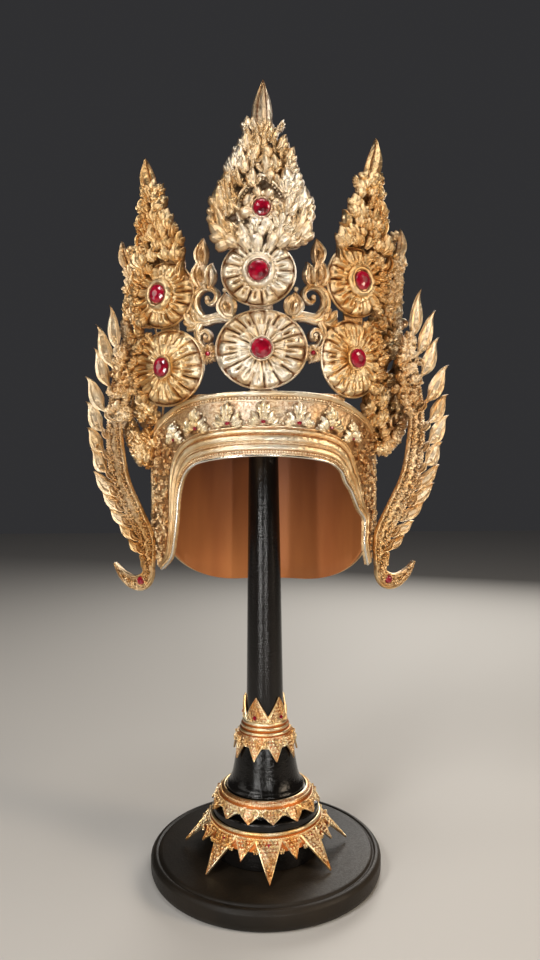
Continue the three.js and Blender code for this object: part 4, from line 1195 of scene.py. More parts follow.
crest = {
    "radius": 15, "up": 549.5, "out": 1.9, "seat": 4, "stoneRadius": 6.6,
    # along, up, lift, heading, width and length of the leaves over the upper rosette
    "leaves": [(-23, 524, 2.4, -108, 10, 14), (-17, 521, 3.0, -66, 10, 14), (-10, 518.5, 3.4, -34, 10.5, 14),
               (-2.5, 517.5, 3.6, -8, 11, 14), (5, 518, 3.4, 18, 10.5, 14), (11.5, 520, 3.0, 46, 10, 14),
               (17, 523, 2.4, 82, 10, 14), (-17, 530, 1.4, -74, 13, 14), (13, 530, 1.4, 62, 13, 14),
               (-6, 529, 1.6, -24, 13, 12), (5, 529, 1.6, 20, 13, 12)],
    # foot, tip and width of the large lobes either side of the stone
    "ears": [((-22, 527), (-35, 559), 23, "L"), ((-18, 548), (-26, 577), 18, "L"),
             ((-19, 523), (-33, 536), 15, "L"), ((20, 526), (31, 560), 23, "R"),
             ((16, 550), (20, 580), 18, "R"), ((18, 522), (32, 537), 15, "R")],
    # an arch of wire and beads over the stone: along, up from the stone, lift
    "arch": [(-15, -14, 2.6), (-18.8, 0, 3.2), (-15, 13, 4.0), (0, 25, 5.6), (15, 13, 4.0), (18.8, 0, 3.2),
             (15, -14, 2.6)],
}


def finialPlate(row):
    inset = finialCast["inset"]
    foot = row["edge"][0][0]
    left, right, low = row["tongue"]
    (n0, n1), top = row["neck"], row["neckTop"]
    outer = [(x1 - inset, z - 3) for z, x0, x1 in row["edge"]]
    inner = [(x0 + inset, z - 3) for z, x0, x1 in row["edge"]]
    outline = [(left, low), (right, low), (right, top), (n1, top), (n1, foot - 6), *outer,
               (row["spear"][2] - 2.4, row["spear"][0] - 4), (row["tip"][0], row["tip"][1] - 10),
               (row["spear"][1] + 2.4, row["spear"][0] - 4), *reversed(inner), (n0, foot - 6), (n0, top),
               (left, top)]
    return [(x * row["side"], z) for x, z in outline]


def addFinial(name, row):
    cast, side, edge = finialCast, row["side"], row["edge"]
    clay = Clay().addMesh(plateMesh([finialPlate(row)], *cast["plate"]), share=cast["plateRelief"])
    (top, inner, outer), (tipX, tipZ) = row["spear"], row["tip"]
    levels = [*edge, row["spear"], (tipZ, tipX, tipX)]
    spray, centre = Spray(side), name == "centre"

    def edges(z):
        return rowAt(z, [level[0] for level in levels], [level[1:] for level in levels])

    def axis(z):
        return sum(edges(z)) / 2

    def fromAxis(x, z):
        a, b = edges(z)
        return (x - (a + b) / 2) / max((b - a) / 2, 1)

    def inside(x, z):
        if centre and math.hypot(x, z + 4 - crest["up"]) < crest["radius"] + cast["stoneRoom"]:
            return False
        return abs(fromAxis(x, z)) < cast["field"] and row["clear"] < z < top - 3

    def place(x, z, random):
        # a puffed ornament, turned by how far it stands from the middle
        u = fromAxis(x, z)
        tag, (a, b) = "R" if u > 0 else "L", edges(z)
        kind = random.choice(["palm", "paw" + tag, "petal", "palm", "frond" + tag])
        wide = min(random.uniform(*row["lump"]), (b - a) * cast["room"])
        share, long, high = {"pal": (0.95, 1.05, 5.2), "pet": (0.66, 0.84, 5.2), "fro": (0.8, 1.1, 5.2),
                             "paw": (0.8, 1.15, 4.8)}[kind[:3]]
        return (kind, 0.4 + cast["rise"] * (1 - u * u),
                u * cast["turn"] + random.uniform(-cast["swing"], cast["swing"]),
                (wide * share, wide * long, high), random.uniform(6, 16))

    fillArea(spray, (min(a for z, a, b in levels), row["clear"] - 6),
             (max(b for z, a, b in levels), top + 6), inside, row["spacing"], place, row["seed"])
    random = np.random.default_rng(row["seed"])
    for i, (z, long, lean) in enumerate(row["lobes"]):
        for k, tag in ((0, "L"), (1, "R")):
            sign = 2 * k - 1
            size = long * random.uniform(0.94, 1.08)
            a = math.radians(lean + random.uniform(-3, 3))
            x = edges(z)[k] - sign * size * (0.16 * math.cos(a) + math.sin(a))
            kind = "paw" if i % 2 or i > 3 else "flame"
            spray.put(kind + tag, (x, z - size * math.cos(a), 0.2 + 0.8 * (i % 2)), sign * math.degrees(a),
                      (size * cast["lobeWide"], size, cast["lobeHigh"]), cast["lean"])
    wide = outer - inner
    spray.grow("spear", (axis(top - 10), top - 10), row["tip"], wide * 1.1, 6.4, 1.6, 1)
    for sign, tag in ((-1, "L"), (1, "R")):
        spray.grow("paw" + tag, (axis(top - 12) + sign, top - 13), (axis(top) + sign * wide * 0.5, top + 3),
                   wide * 0.62, 5.0, 2.2, 6)
    spray.grow("palm", (axis(top - 12), top - 14), (axis(top), top - 1), wide * 0.8, 5.4, 4.4, 10)
    clay.addMesh(spray.mesh(0.06, 0.08, row["seed"]))
    if centre:
        leaves = Spray()
        for x, z, lift, heading, wide, long in crest["leaves"]:
            leaves.put("petal" if z < 527 else "palm", (x, z, lift), heading, (wide, long, 7), 3)
        for foot, tip, wide, tag in crest["ears"]:
            leaves.grow("frond" + tag, foot, tip, wide, 7, 1.6, 3)
        clay.addMesh(leaves.mesh(0.05, 0.08, 24))
        arch = curveThrough(crest["arch"], 48)
        clay.addMesh(wire(arch + (0, crest["up"], 0), 1.5))
        clay.addMesh(beadRow(arch * (0.87, 0.89, 1) + (0, crest["up"], 0.2), 1.1, 2.7))
    finishPiece(name + "_flames", clay.mesh(name), uprightPlane(*planes[row["plane"]], side), "crownGold",
                name + "_finial")


def addCrest():
    r, seat = crest["radius"], crest["seat"]
    clay = Clay().lathe(softened([(0, 0), (r * 0.9, 0), (r * 0.97, 1.2), (r * 0.93, 2.2), (r * 0.8, 2.4),
                                  (9, 2.6), (0, 2.6)], 0.5), 48, 0.3)
    clay.addMesh(petalRing("petal", 8, 6.6, 2.4, (9, 10.4, 5.6), -0.1, 0.3, 31, 0.2))
    clay.addMesh(petalRing("bead", 8, 10.2, 5.2, (3.6, 3.6, 3.6), 0, 0.7, 32, 0.2))
    clay.lathe(softened([(6.9, seat + 0.2), (6.9, seat + 1.4), (7.5, seat + 2.0), (8.2, seat + 1.4),
                         (8.5, seat - 1), (6.9, seat - 1)], 0.3), 40)
    clay.lathe([(0, seat + 0.15), (7.0, seat + 0.15), (7.0, seat - 0.8), (0, seat - 0.8)], 24, 0.5)
    turn = uprightPlane(*planes["centre"]) @ Matrix.Translation((0, crest["up"], crest["out"]))
    finishPiece("centre_crest_petals", clay.mesh("crest"), turn, "crownGold", "centre_crest_boss")
    addStone("centre_crest_stone", crest["stoneRadius"], seat, turn)


for name, row in finials.items():
    addFinial(name, row)
addCrest()
print("finials cast")


# side panels: an openwork plate under a mass of small leaves, curls and flowers

panels = {
    "left": {
        "side": -1, "shift": 0, "seed": 41,
        "outer": [(65.4, 354), (78, 357), (87, 366), (93, 380), (97, 396), (99, 411), (100, 432), (99, 452),
                  (92, 459), (94, 482), (91, 508), (87, 531)],
        "tip": (84, 548),
        "inner": [(76, 532), (74, 500), (72, 470), (64, 440), (63, 409), (65.4, 384)],
    },
    "right": {
        "side": 1, "shift": 2, "seed": 42,
        "outer": [(65.4, 360), (76, 362), (86, 371), (97, 384), (104, 398), (106, 411), (107, 434),
                  (106, 456), (92, 463), (92, 488), (92, 514), (91, 536)],
        "tip": (89, 558),
        "inner": [(80, 541), (75, 505), (73, 474), (64, 446), (63, 415), (65.4, 386)],
    },
}
# leaf-shaped piercings: height, and from and to along the plane
piercings = [(461, 59, 66), (392, 70, 77), (388, 84, 90), (416, 72, 81), (418, 89, 95), (440, 75, 85),
             (481, 79, 89), (503, 82, 92), (524, 85, 94)]
panelCast = {
    # the plate's share of relief is low, so the plate behind the leaves is painted in shade
    "plate": (-3.0, -0.6, 0.5), "plateRelief": 0.25, "inset": 3.0, "holeWidth": 6, "clear": 4.3,
    "spacing": 8.2, "lump": (9.4, 12), "lobe": (9.0, 12.5, 5.4), "lobeSpacing": 7.6,
    # the foliage reaches in behind the rosettes, by so much from so far below the tip, over so many mm
    "inward": (15, 26, 40),
    "palms": (5, 29, 9),    # five-fingered leaves down the plume: how many, the first below the tip, step
    "waist": 456,      # the lower lobe ends and the plume begins
}


def slit(x0, z0, x1, z1, width):
    # a leaf-shaped hole between two points
    a, b = np.array((x0, z0), float), np.array((x1, z1), float)
    n = np.array((b[1] - a[1], a[0] - b[0]))
    n = n / np.linalg.norm(n) * width / 2
    sides = [(0, 0), (0.15, 0.6), (0.42, 1), (0.75, 0.6), (1, 0), (0.75, -0.6), (0.42, -1), (0.15, -0.6)]
    return [tuple(a + (b - a) * t + n * s) for t, s in sides]


def isWithin(x, y, outline):
    # whether a point lies inside a closed outline
    inside = False
    for (x0, y0), (x1, y1) in zip(outline, outline[1:] + outline[:1]):
        if (y0 > y) != (y1 > y) and x < x0 + (y - y0) / (y1 - y0) * (x1 - x0):
            inside = not inside
    return inside


def nearSlit(x, z, holes, clear):
    for x0, z0, x1, z1 in holes:
        dx, dz = x1 - x0, z1 - z0
        t = min(max(((x - x0) * dx + (z - z0) * dz) / (dx * dx + dz * dz), 0), 1)
        if math.hypot(x - x0 - dx * t, z - z0 - dz * t) < clear:
            return True
    return False


def leafyPlace(lump, lift, height):
    # which small ornament stands at a spot of a leafy field
    def place(x, z, random):
        kind = random.choice(["pawR", "palm", "curlR", "pawR", "pawL", "palm", "floret"])
        wide = random.uniform(*lump)
        share, long = {"pa": (1, 1.05), "fl": (0.92, 0.92), "cu": (1, 1)}[kind[:2]]
        return (kind, lift + random.uniform(0, 1.2), 22 + random.uniform(-38, 38),
                (wide * share, wide * long, height), random.uniform(6, 16))
    return place


def addPanel(name, row):
    side, cast, seed, (tipX, tipZ) = row["side"], panelCast, row["seed"], row["tip"]
    inward, below, over = cast["inward"]
    deeper = [(x - inward * min(max((tipZ - below - z) / over, 0), 1), z) for x, z in row["inner"]]
    leafy = [*row["outer"], row["tip"], *deeper]
    shrink = [(x - cast["inset"], z + (2 if z < 372 else 0)) for x, z in row["outer"]]
    plate = [*shrink, (tipX, tipZ - 8), *deeper]
    holes = [(a + row["shift"], z - 6, b + row["shift"], z + 6) for z, a, b in piercings]
    cuts = [slit(side * a, z0, side * b, z1, cast["holeWidth"]) for a, z0, b, z1 in holes]
    clay = Clay().addMesh(plateMesh([[(side * x, z) for x, z in plate], *cuts], *cast["plate"]),
                          share=cast["plateRelief"])
    spray = Spray(side)
    fillArea(spray, (46, 356), (108, tipZ - 6),
             lambda x, z: isWithin(x + 3.5, z, leafy) and not nearSlit(x, z, holes, cast["clear"]),
             cast["spacing"], leafyPlace(cast["lump"], -0.2, 5.6), seed)
    # the lower lobe, then the upper plume, each with lobes round its edge
    lower = [(x - 2.4, z) for x, z in row["outer"] if z <= cast["waist"]]
    upper = [(x - 4.6, z) for x, z in row["outer"] if z > cast["waist"]]
    edgeLobes(spray, lower, cast["lobeSpacing"], cast["lobe"], 0.3, 0.2, seed)
    edgeLobes(spray, upper, cast["lobeSpacing"], cast["lobe"], 0.7, 0.4, seed + 1)
    spray.grow("spear", (tipX - 2, tipZ - 26), (tipX + 1, tipZ), 10.5, 5.4, 3.6, 2)
    palms, first, step = cast["palms"]
    for k in range(palms):
        spray.put("palm", (tipX - 2 - 1.2 * k, tipZ - first - step * k, 2.4), 4, (9.5 + 0.5 * k, 10.5, 5), 12)
    clay.addMesh(spray.mesh(0.1, 0.1, seed))
    finishPiece(name + "_leafwork", clay.mesh(name), uprightPlane(*planes["panel"], side), "crownGold",
                name + "_side_panel")


for name, row in panels.items():
    addPanel(name, row)
print("side panels cast")


# ear wings: a strap with rolled edges and flowers, blades on stalks and a hook below

wing = {
    "strap": [(72.5, 269, 13), (73.6, 292, 15), (84, 312, 16), (98, 336, 18), (104, 362, 17),
              (105.4, 392, 14), (102, 424, 10), (96, 452, 5)],   # along, up, width
    "hook": [(75.5, 280, 10), (71.5, 265, 11), (77.5, 256.5, 14), (88, 256, 11.5), (98, 262, 7.5),
             (105.5, 271, 1.5)],
    # foot and tip of each blade from the top down, its width and whether it has a stalk
    "blades": [(96.5, 446, 110, 493, 10.5, 1), (101, 434, 124, 477, 11.5, 1), (105, 418, 131, 456, 12, 1),
               (109, 398, 139, 432, 12.5, 1), (112, 382, 139, 410, 12.5, 1), (111, 365, 138, 389, 12.5, 1),
               (108, 348, 132, 368, 12, 1), (104, 334, 126, 349, 11, 0), (99, 321, 120, 333, 10, 0),
               (92, 309, 111, 318, 9.5, 0), (84, 297, 101, 304, 9, 0), (78, 286, 92, 292, 8, 0)],
    "seat": (72, 265),
    "shoulder": [(98, 386, 4), (93.5, 406, 12), (94.5, 432, 12), (98, 456, 4)],
    # side, shift along, how much wider and higher than drawn, seed
    "left": (-1, 0, 1, 1, 51),
    "right": (1, 0.8, 1.12, 1.05, 52),
    "stoneRadius": 3.4, "stoneAt": (78, 257.5),
    # files of flowers and beads: gap along them, share of the width each stands aside, lift, size
    "strapFiles": (7.4, (-0.24, 0.24), 0.6, 1), "hookFiles": (6.0, (0,), 1.0, 1.1),
    "upperEnd": 398,        # small leaves run over the strap from here up
}
strapSection = [(-1, -2.6, 0.2), (-1, 0.2, 0.7), (-0.93, 1.1, 1), (-0.8, 1.2, 1), (-0.7, 0.5, 0.4),
                (-0.62, 0.1, 0.3), (0, 0.35, 0.5), (0.62, 0.1, 0.3), (0.7, 0.5, 0.4), (0.8, 1.2, 1),
                (0.93, 1.1, 1), (1, 0.2, 0.7), (1, -2.6, 0.2)]


def addWing(name):
    side, shift, out, rise, seed = wing[name]
    seatX, seatZ = wing["seat"]
    clay, spray = Clay(), Spray(side)

    def settle(x, z):
        return seatX + shift + (x - seatX) * out, seatZ + (z - seatZ) * rise

    strap = curveThrough([(*settle(x, z), w) for x, z, w in wing["strap"]], 90)
    hook = curveThrough([(x + shift, z, w) for x, z, w in wing["hook"]], 60)
    shoulder = curveThrough([(*settle(x, z), w) for x, z, w in wing["shoulder"]], 24)
    # the shoulder is a thin plate under small leaves, on the side of the panel
    flat = [(across, up, 0.3) for across, up in ((-1, -2.6), (-1, -0.6), (1, -0.6), (1, -2.6))]
    for path, lift, section in ((strap, 0.0, strapSection), (hook, 0.5, strapSection), (shoulder, 0.0, flat)):
        clay.sweep(path[:, :2] * (side, 1), path[:, 2], 1.0, section, lift)

    def inside(x, z):
        middle, _, wide = rowAt(z, shoulder[:, 1], shoulder)
        return shoulder[1, 1] < z < shoulder[-2, 1] and -wide / 2 - 3 < x - middle < wide / 2

    fillArea(spray, (82, shoulder[0, 1]), (112, shoulder[-1, 1]), inside, 6.4,
             leafyPlace((7.4, 9.2), -0.6, 4.6), seed)
    # the same leaves run over the upper end of the strap
    upper = strap[strap[:, 1] > settle(0, wing["upperEnd"])[1]]
    (lastX, lastZ), firstZ = upper[-1, :2], upper[0, 1]
    fillArea(spray, (92, firstZ), (114, lastZ + 4),
             lambda x, z: -7 < x - np.interp(z, upper[:, 1], upper[:, 0]) < 1,
             6.4, leafyPlace((7.0, 8.8), 1.0, 4.2), seed + 9)
    spray.grow("palm", (lastX - 2, lastZ - 9), (lastX - 1, lastZ + 5), 9, 4, 1.2, 4)
    edgeLobes(spray, [(x - w / 2, z) for x, z, w in reversed(shoulder[2:-1])], 8, (7.5, 9.5, 4), 0.2, -0.6,
              seed)
    for path, (gap, files, lift, most) in ((strap, wing["strapFiles"]), (hook, wing["hookFiles"])):
        run = runAlong(path[:, :2])
        for f, offset in enumerate(files):
            for k, s in enumerate(np.arange(4 + f * gap / 2, run[-1] - 3, gap)):
                x, z, w = rowAt(s, run, path)
                dx, dz = (np.array(rowAt(s + 1, run, path)) - (x, z, w))[:2]
                n = math.hypot(dx, dz) + 1e-6
                px, pz = x + dz / n * w * offset, z - dx / n * w * offset
                size = min(w * 0.44, 7) * most
                heading = math.degrees(math.atan2(dx, dz))
                spray.put("floret", (px, pz, lift), heading + 24 * k, (size, size, 2.6))
                spray.put("bead", (px + dx / n * gap / 2, pz + dz / n * gap / 2, lift + 0.3), 0,
                          (2.1, 2.1, 2.1))
    for i, (x0, z0, x1, z1, wide, stalk) in enumerate(wing["blades"]):
        foot, tip = settle(x0, z0), settle(x1 - (2.4 if x1 > 130 else 0), z1)
        if stalk:
            spray.grow("bladeR", foot, tip, wide * 1.2, 4.6, -0.9 + 0.2 * (i % 2), 2)
        else:
            root = (foot[0] - (tip[0] - foot[0]) * 0.1, foot[1] - (tip[1] - foot[1]) * 0.1)
            spray.grow("shellR", root, tip, wide * 1.15, 4.6, -0.6 + 0.2 * (i % 2), 3)
        # a small curled leaf where the blade leaves the strap
        spray.grow("leafR", (foot[0] - 4, foot[1] - 5), (foot[0] + 4.5, foot[1] + 3.5), 4.6, 3.2, 0.6, 8)
    clay.addMesh(spray.mesh(0.05, 0.04, seed))
    flat = strap[:, :2] * (side, 1)
    for edge in (-0.46, 0.46):
        line = np.column_stack([flat + rightOf(flat) * strap[:, 2:] * edge, np.full(len(flat), 0.9)])
        clay.addMesh(beadRow(line[4:-4], 0.85, 2.3))
    x, z = wing["stoneAt"]
    bezel = Matrix.Translation((side * (x + shift), z, 0.8))
    clay.lathe(softened([(0, -1), (4.8, -1), (4.6, 0.9), (4.1, 1.3), (3.6, 0.9), (3.5, 0.2), (0, 0.2)], 0.3),
               28, turn=bezel)
    plane = uprightPlane(*planes["wing"], side)
    finishPiece(name + "_ear_wing_cast", clay.mesh(name), plane, "crownGold", name + "_ear_wing")
    addStone(name + "_hook_stone", wing["stoneRadius"], 0, plane @ bezel, 3.4, 10)


for name in ("left", "right"):
    addWing(name)
print("ear wings cast")


# scrolls: a branch with a curl, two buds and two leaves, and a flower that links it to the rosettes

scroll = {
    "height": 2.8, "back": -2.8,
    # side, how far the outer branch reaches, shift along, seed
    "left": (-1, 20.7, 2, 61),
    "right": (1, 16.8, -2, 62),
    # along, up and width of each strand
    "arm": [(-21.4, 467, 8), (-15, 468.6, 8), (-8.4, 469.6, 7.6), (-2, 468.8, 7.6), (4, 469, 8),
            (9, 473.6, 8.8), (12, 480, 9), (11.4, 486.6, 8.4), (7, 491.4, 7), (1, 493, 5.6), (-5, 491, 5),
            (-8.4, 486.6, 4.8), (-6.6, 481.6, 4.6), (-2.4, 480, 4), (0.6, 482.4, 3.4), (-0.4, 485.4, 2.6)],
    "second": [(-13, 466.2, 3.4), (-6, 466.4, 3.8), (1, 465.2, 4.2), (6, 466, 4.4), (13, 470, 3.6),
               (16, 477, 2.4)],
    "tie": [(6, 466, 6), (9.4, 460, 6.4), (8.6, 452.6, 6), (4.6, 446.6, 6), (0, 442, 6)],
    "small": [(8, 452, 4.6), (6.4, 457.6, 4.4), (1.6, 459.4, 4), (-2, 456, 3.6), (-1.2, 451.8, 3),
              (2, 451.6, 2.6), (2.4, 454, 2.2)],
    "leaves": [("bud", (4.4, 494), (3.8, 516.5), 17, 6.0, 0.4),
               ("bud", (3.2, 509.5), (1.6, 531), 13, 5.4, 2.2),
               ("leafL", (-2.6, 494), (-7.4, 511.6), 10, 5.0, 1.4),
               ("frondR", (8, 494), (12, 510), 9, 4.4, -0.4),
               ("bud", (-19.6, 468.5), (-16.4, 487.6), 18.5, 5.4, 0.2),
               ("pawR", (10, 465), (21, 477), 10, 4.6, -0.4)],
    "beads": [(-0.8, 484.4, 3.0, 4.0), (1.6, 455, 2.4, 3.6), (1.4, 494, 3.4, 4.6), (-16.2, 489, 2.6, 3.8)],
    "flower": 441,
}


def growLeaves(spray, leaves, beads, lean, shift=0, flatten=1.0):
    for kind, (x0, z0), (x1, z1), wide, high, lift in leaves:
        spray.grow(kind, (x0 + shift, z0), (x1 + shift, z1), wide, high, lift, lean)
    for x, z, lift, size in beads:
        spray.put("bead", (x + shift, z, lift), 0, (size, size, size * flatten))


def addScroll(name):
    side, outer, shift, seed = scroll[name]
    clay, spray = Clay(), Spray(side)
    back = [(-1, 0, 0.1), (-1, scroll["back"], 0.1), (1, scroll["back"], 0.1), (1, 0, 0.1)]

    def strand(rows, steps, high=scroll["height"]):
        path = curveThrough(rows, steps) * (side, 1, 1)
        clay.sweep(path[:, :2], path[:, 2], high, scrollSection)
        clay.sweep(path[:, :2], path[:, 2] * 0.8, 1.0, back, 0.2)

    for key, steps in (("arm", 90), ("tie", 24), ("small", 36)):
        # the arm's first point stays where it meets the finial's neck
        strand([(x + (shift if i or key != "arm" else 0), z, w) for i, (x, z, w) in enumerate(scroll[key])],
               steps)
    strand([(x + shift, z, w) for x, z, w in scroll["second"]], 30, 2.2)
    strand([(10, 465, 5), (15, 463, 6), (outer, 463, 6)], 10, 2.2)
    growLeaves(spray, scroll["leaves"], scroll["beads"], 3, shift, 0.9)
    clay.addMesh(spray.mesh(0.03, 0.03, seed))
    plane = uprightPlane(*planes["scroll"], side)
    finishPiece(name + "_scroll_cast", clay.mesh(name), plane, "crownGold", name + "_scroll")
    turn = plane @ Matrix.Translation((side * (shift - 2), scroll["flower"], 0.3))
    flower = Clay().lathe(softened([(0, 0), (5, 0), (5.8, 0.8), (5, 1.8), (0, 2.2)], 0.3), 28, 0.3)
    flower.addMesh(petalRing("palm", 6, 2.4, 0.8, (7, 6.2, 4.2), 0.0, 0.2, seed, 0.14))
    flower.lathe(softened([(0, 1.4), (2.7, 1.4), (2.7, 3.2), (2.2, 3.6), (1.7, 3.2), (0, 3.2)], 0.2), 20)
    finishPiece(name + "_link_flower_cast", flower.mesh(name), turn, "crownGold", name + "_link_flower")
    return turn


linkPlaces = [addScroll(name) for name in ("left", "right")]
print("scrolls cast")


# the brow band: mouldings swept round the opening and down the cheeks

band = {
    # angle and height of the opening's edge and of the outer edge, then how wide the mouldings and
    # the rim are next to those at the brow
    "seed": 70, "cheekSpacing": 4.6,
    "brow": [(0, 361.5, 0, 410.6, 1, 1), (14, 360.5, 17, 410.4, 1, 1), (26, 358, 32, 408, 0.97, 1),
             (34, 354.5, 44, 402.6, 0.92, 0.95), (39.5, 348, 54, 396.4, 0.82, 0.9),
             (42.5, 339, 64, 390, 0.66, 0.8)],
    "left": [(44.5, 328, 75, 380, 0.46, 0.7), (45.5, 314, 84, 358, 0.32, 0.6),
             (47.5, 296, 85, 328, 0.26, 0.6), (51, 279, 82, 301, 0.26, 0.7), (60, 269, 76, 281, 0.4, 0.9)],
    "right": [(46.5, 332, 75, 380, 0.46, 0.7), (52, 318, 84, 358, 0.32, 0.6), (58.5, 308, 85, 332, 0.28, 0.6),
              (58, 288, 83, 304, 0.28, 0.7), (62, 271, 77, 283, 0.42, 0.9)],
    # across the band at the brow: share of the width, radius, relief
    "section": [(0, 95.6, 0.4), (0.012, 96.8, 0.8), (0.04, 97.0, 0.2), (0.092, 97.1, 0.15), (0.1, 97.9, 0.8),
                (0.115, 98.5, 1), (0.15, 98.6, 1), (0.168, 98.2, 0.9), (0.178, 97.5, 0.2), (0.186, 97.3, 0.1),
                (0.194, 97.9, 0.8), (0.204, 98.1, 0.9), (0.213, 97.6, 0.3), (0.222, 97.6, 0.3),
                (0.23, 98.4, 0.9), (0.25, 99.2, 1), (0.285, 99.3, 1), (0.31, 98.8, 0.9), (0.322, 97.8, 0.3),
                (0.332, 97.3, 0.05), (0.345, 97.4, 0.1), (0.354, 98.3, 0.8), (0.37, 99, 1), (0.4, 99.1, 1),
                (0.416, 98.4, 0.8), (0.424, 97.7, 0.15), (0.434, 97.7, 0.2), (0.44, 98.2, 0.9),
                (0.455, 98.3, 0.9), (0.466, 97.5, 0.3), (0.48, 97, 0.27), (0.65, 97.1, 0.33),
                (0.83, 97, 0.27), (0.846, 97.2, 0.3), (0.852, 97.9, 0.8), (0.862, 98, 0.9),
                (0.868, 97.5, 0.3), (0.89, 97.2, 0.15), (0.914, 97.4, 0.2), (0.922, 98.2, 0.8),
                (0.94, 99, 1), (0.965, 99.3, 1), (0.985, 98.9, 0.9), (1, 97.6, 0.5)],
    "inside": 94.1, "turn": math.radians(97),     # radius inside, and millimetres round it for a degree
    "mouldings": 0.466, "rim": 0.846, "steps": 220,
    "field": 97.1,     # radius of the field between them
    "cheeks": (56, 0.5, 0.82),     # degrees from the front and shares of the width of the cheek flowers
    "edgeWire": (0.006, 97.3, 1.0),     # across, radius, thickness
    # rows of beads: across, radius of the row, bead radius, spacing
    "beads": [(0.066, 97.5, 0.9, 2.1), (0.891, 97.9, 1.05, 2.5)],
}


leftRows = [(-a, low, -b, *rest) for a, low, b, *rest in reversed(band["brow"][1:] + band["left"])]
bandRows = curveThrough(leftRows + band["brow"] + band["right"], band["steps"])


def bandPlace(row, across, radius):
    # a point on the band: shares keep the mouldings and the rim apart from the field
    openAngle, openZ, edgeAngle, edgeZ, mouldings, rim = row
    low, high = band["mouldings"], band["rim"]
    lowTo, highTo = low * mouldings, 1 - (1 - high) * rim
    share = float(np.interp(across, [0, low, high, 1], [0, lowTo, highTo, 1]))
    return onRing(radius, openAngle + (edgeAngle - openAngle) * share, openZ + (edgeZ - openZ) * share)


def addBand():
    inside = [(a, band["inside"], 0.2) for a in (1, 0.8, 0.6, 0.4, 0.2, 0)]
    section, turn = band["section"] + inside, band["turn"]
    clay = Clay().loft([[bandPlace(row, a, r) for a, r, shade in section] for row in bandRows],
                       np.tile([shade for a, r, shade in section], (len(bandRows), 1)))
    for across, radius, size, spacing in band["beads"]:
        clay.addMesh(beadRow([bandPlace(row, across, radius) for row in bandRows], size, spacing))
    spray, random = Spray(), np.random.default_rng(band["seed"])
    # small flowers, leaves and beads down the cheeks, closer together towards their feet
    run = runAlong(bandRows[:, 2:4] * (turn, 1))
    spacing, (start, low, high) = band["cheekSpacing"], band["cheeks"]
    for k, s in enumerate(np.arange(3, run[-1] - 2, spacing)):
        row, ahead = rowAt(s, run, bandRows), rowAt(s + 2, run, bandRows)
        if abs(row[2]) < start:
            continue
        wide = abs(row[2] - row[0]) * turn * (band["rim"] - band["mouldings"])
        files = max(2, int(round(wide / spacing)))
        for f in range(files):
            across = low + (high - low) * (f + 0.5 * (k % 2)) / max(files - 0.5, 1)
            place = Vector(bandPlace(row, across, band["field"]))
            out = Vector((place.x, place.y, 0)).normalized()
            along = Vector(bandPlace(ahead, across, band["field"])) - place
            kind = random.choice(["floret", "bead", "leafR", "floret", "curlL", "bead"])
            wide = random.uniform(4.2, 6.0)
            size = {"f": (wide, wide, 2.6), "b": (2.4, 2.4, 2.2), "l": (wide * 0.6, wide * 1.2, 2.4),
                    "c": (wide, wide, 2.4)}[kind[0]]
            swing = Matrix.Rotation(random.uniform(-0.9, 0.9), 3, out)
            spray.stand(kind, place, swing @ along, out, size)
    clay.addMesh(spray.mesh(0.12, 0.2, 71))
    finishPiece("brow_band_cast", clay.mesh("band", 34), Matrix(), "bandGold", "brow_band")
    across, radius, thick = band["edgeWire"]
    edge = Clay().addMesh(wire([bandPlace(row, across, radius) for row in bandRows], thick, sides=10))
    finishPiece("brow_edge_wire", edge.mesh("edge"), Matrix(), "edgeWire")


# seven gabled clusters of leaves stand on the field, each with a small stone at its foot

cluster = {
    "distance": 97.4,
    "angles": [(-46, 373), (-32, 381), (-16, 384.4), (0, 385.4), (16, 384.4), (32, 381), (46, 373)],
    "leaves": [("palm", (0, 8), (0, 18.4), 9.6, 4.4, 1.2), ("pawR", (1.6, 2), (8.6, 11.4), 7.4, 4.2, 0.6),
               ("pawL", (-1.6, 2), (-8.6, 11.4), 7.4, 4.2, 0.6), ("pawR", (5, 0.6), (12, 5.2), 5.8, 3.8, 0.3),
               ("pawL", (-5, 0.6), (-12, 5.2), 5.8, 3.8, 0.3), ("palm", (0, 3), (0, 9.6), 6.4, 4.4, 2.0)],
    "beads": [(8.8, 8.2, 1.8, 2.4), (-8.8, 8.2, 1.8, 2.4), (5, 13.4, 1.8, 2.4), (-5, 13.4, 1.8, 2.4),
              (12.4, 1.4, 1.0, 2.2), (-12.4, 1.4, 1.0, 2.2), (0, 18.8, 1.2, 2.2)],
    "stone": (1.9, 2.2, 1.8),     # radius, up, out
    # the outermost clusters stand where the field narrows
    "small": 0.86,
}


def addClusters():
    stones, (radius, up, out) = Clay(), cluster["stone"]
    for i, (angle, low) in enumerate(cluster["angles"]):
        spray = Spray()
        growLeaves(spray, cluster["leaves"], cluster["beads"], 4)
        # bent to the band's curve
        clay = Clay().addMesh(spray.mesh(0.05, 0.05, 81 + i), bend=lambda points: points - np.outer(
            points[:, 0] ** 2 / (2 * cluster["distance"]), (0, 0, 1)))
        turn = (uprightPlane(cluster["distance"], angle) @ Matrix.Translation((0, low, 0))
                @ Matrix.Scale(cluster["small"] if abs(angle) > 40 else 1, 4))
        finishPiece(f"band_cluster_{i + 1}", clay.mesh("cluster"), turn, "flowerGold", f"band_flower_{i + 1}")
        stones.addMesh(cutStone(radius, 0, 1.6, 8).mesh("stone", 4), turn @ Matrix.Translation((0, up, out)))
    for turn in linkPlaces:
        stones.addMesh(cutStone(1.9, 0, 1.5, 8).mesh("stone", 4), turn @ Matrix.Translation((0, 0, 3.1)))
    finishPiece("small_stones", stones.mesh("stones", 8), Matrix(), "rubyGlass")


addBand()
addClusters()
print("brow band and its clusters cast")


# the walls round the back: leather inside, a gilded guard with a lattice of flowers outside

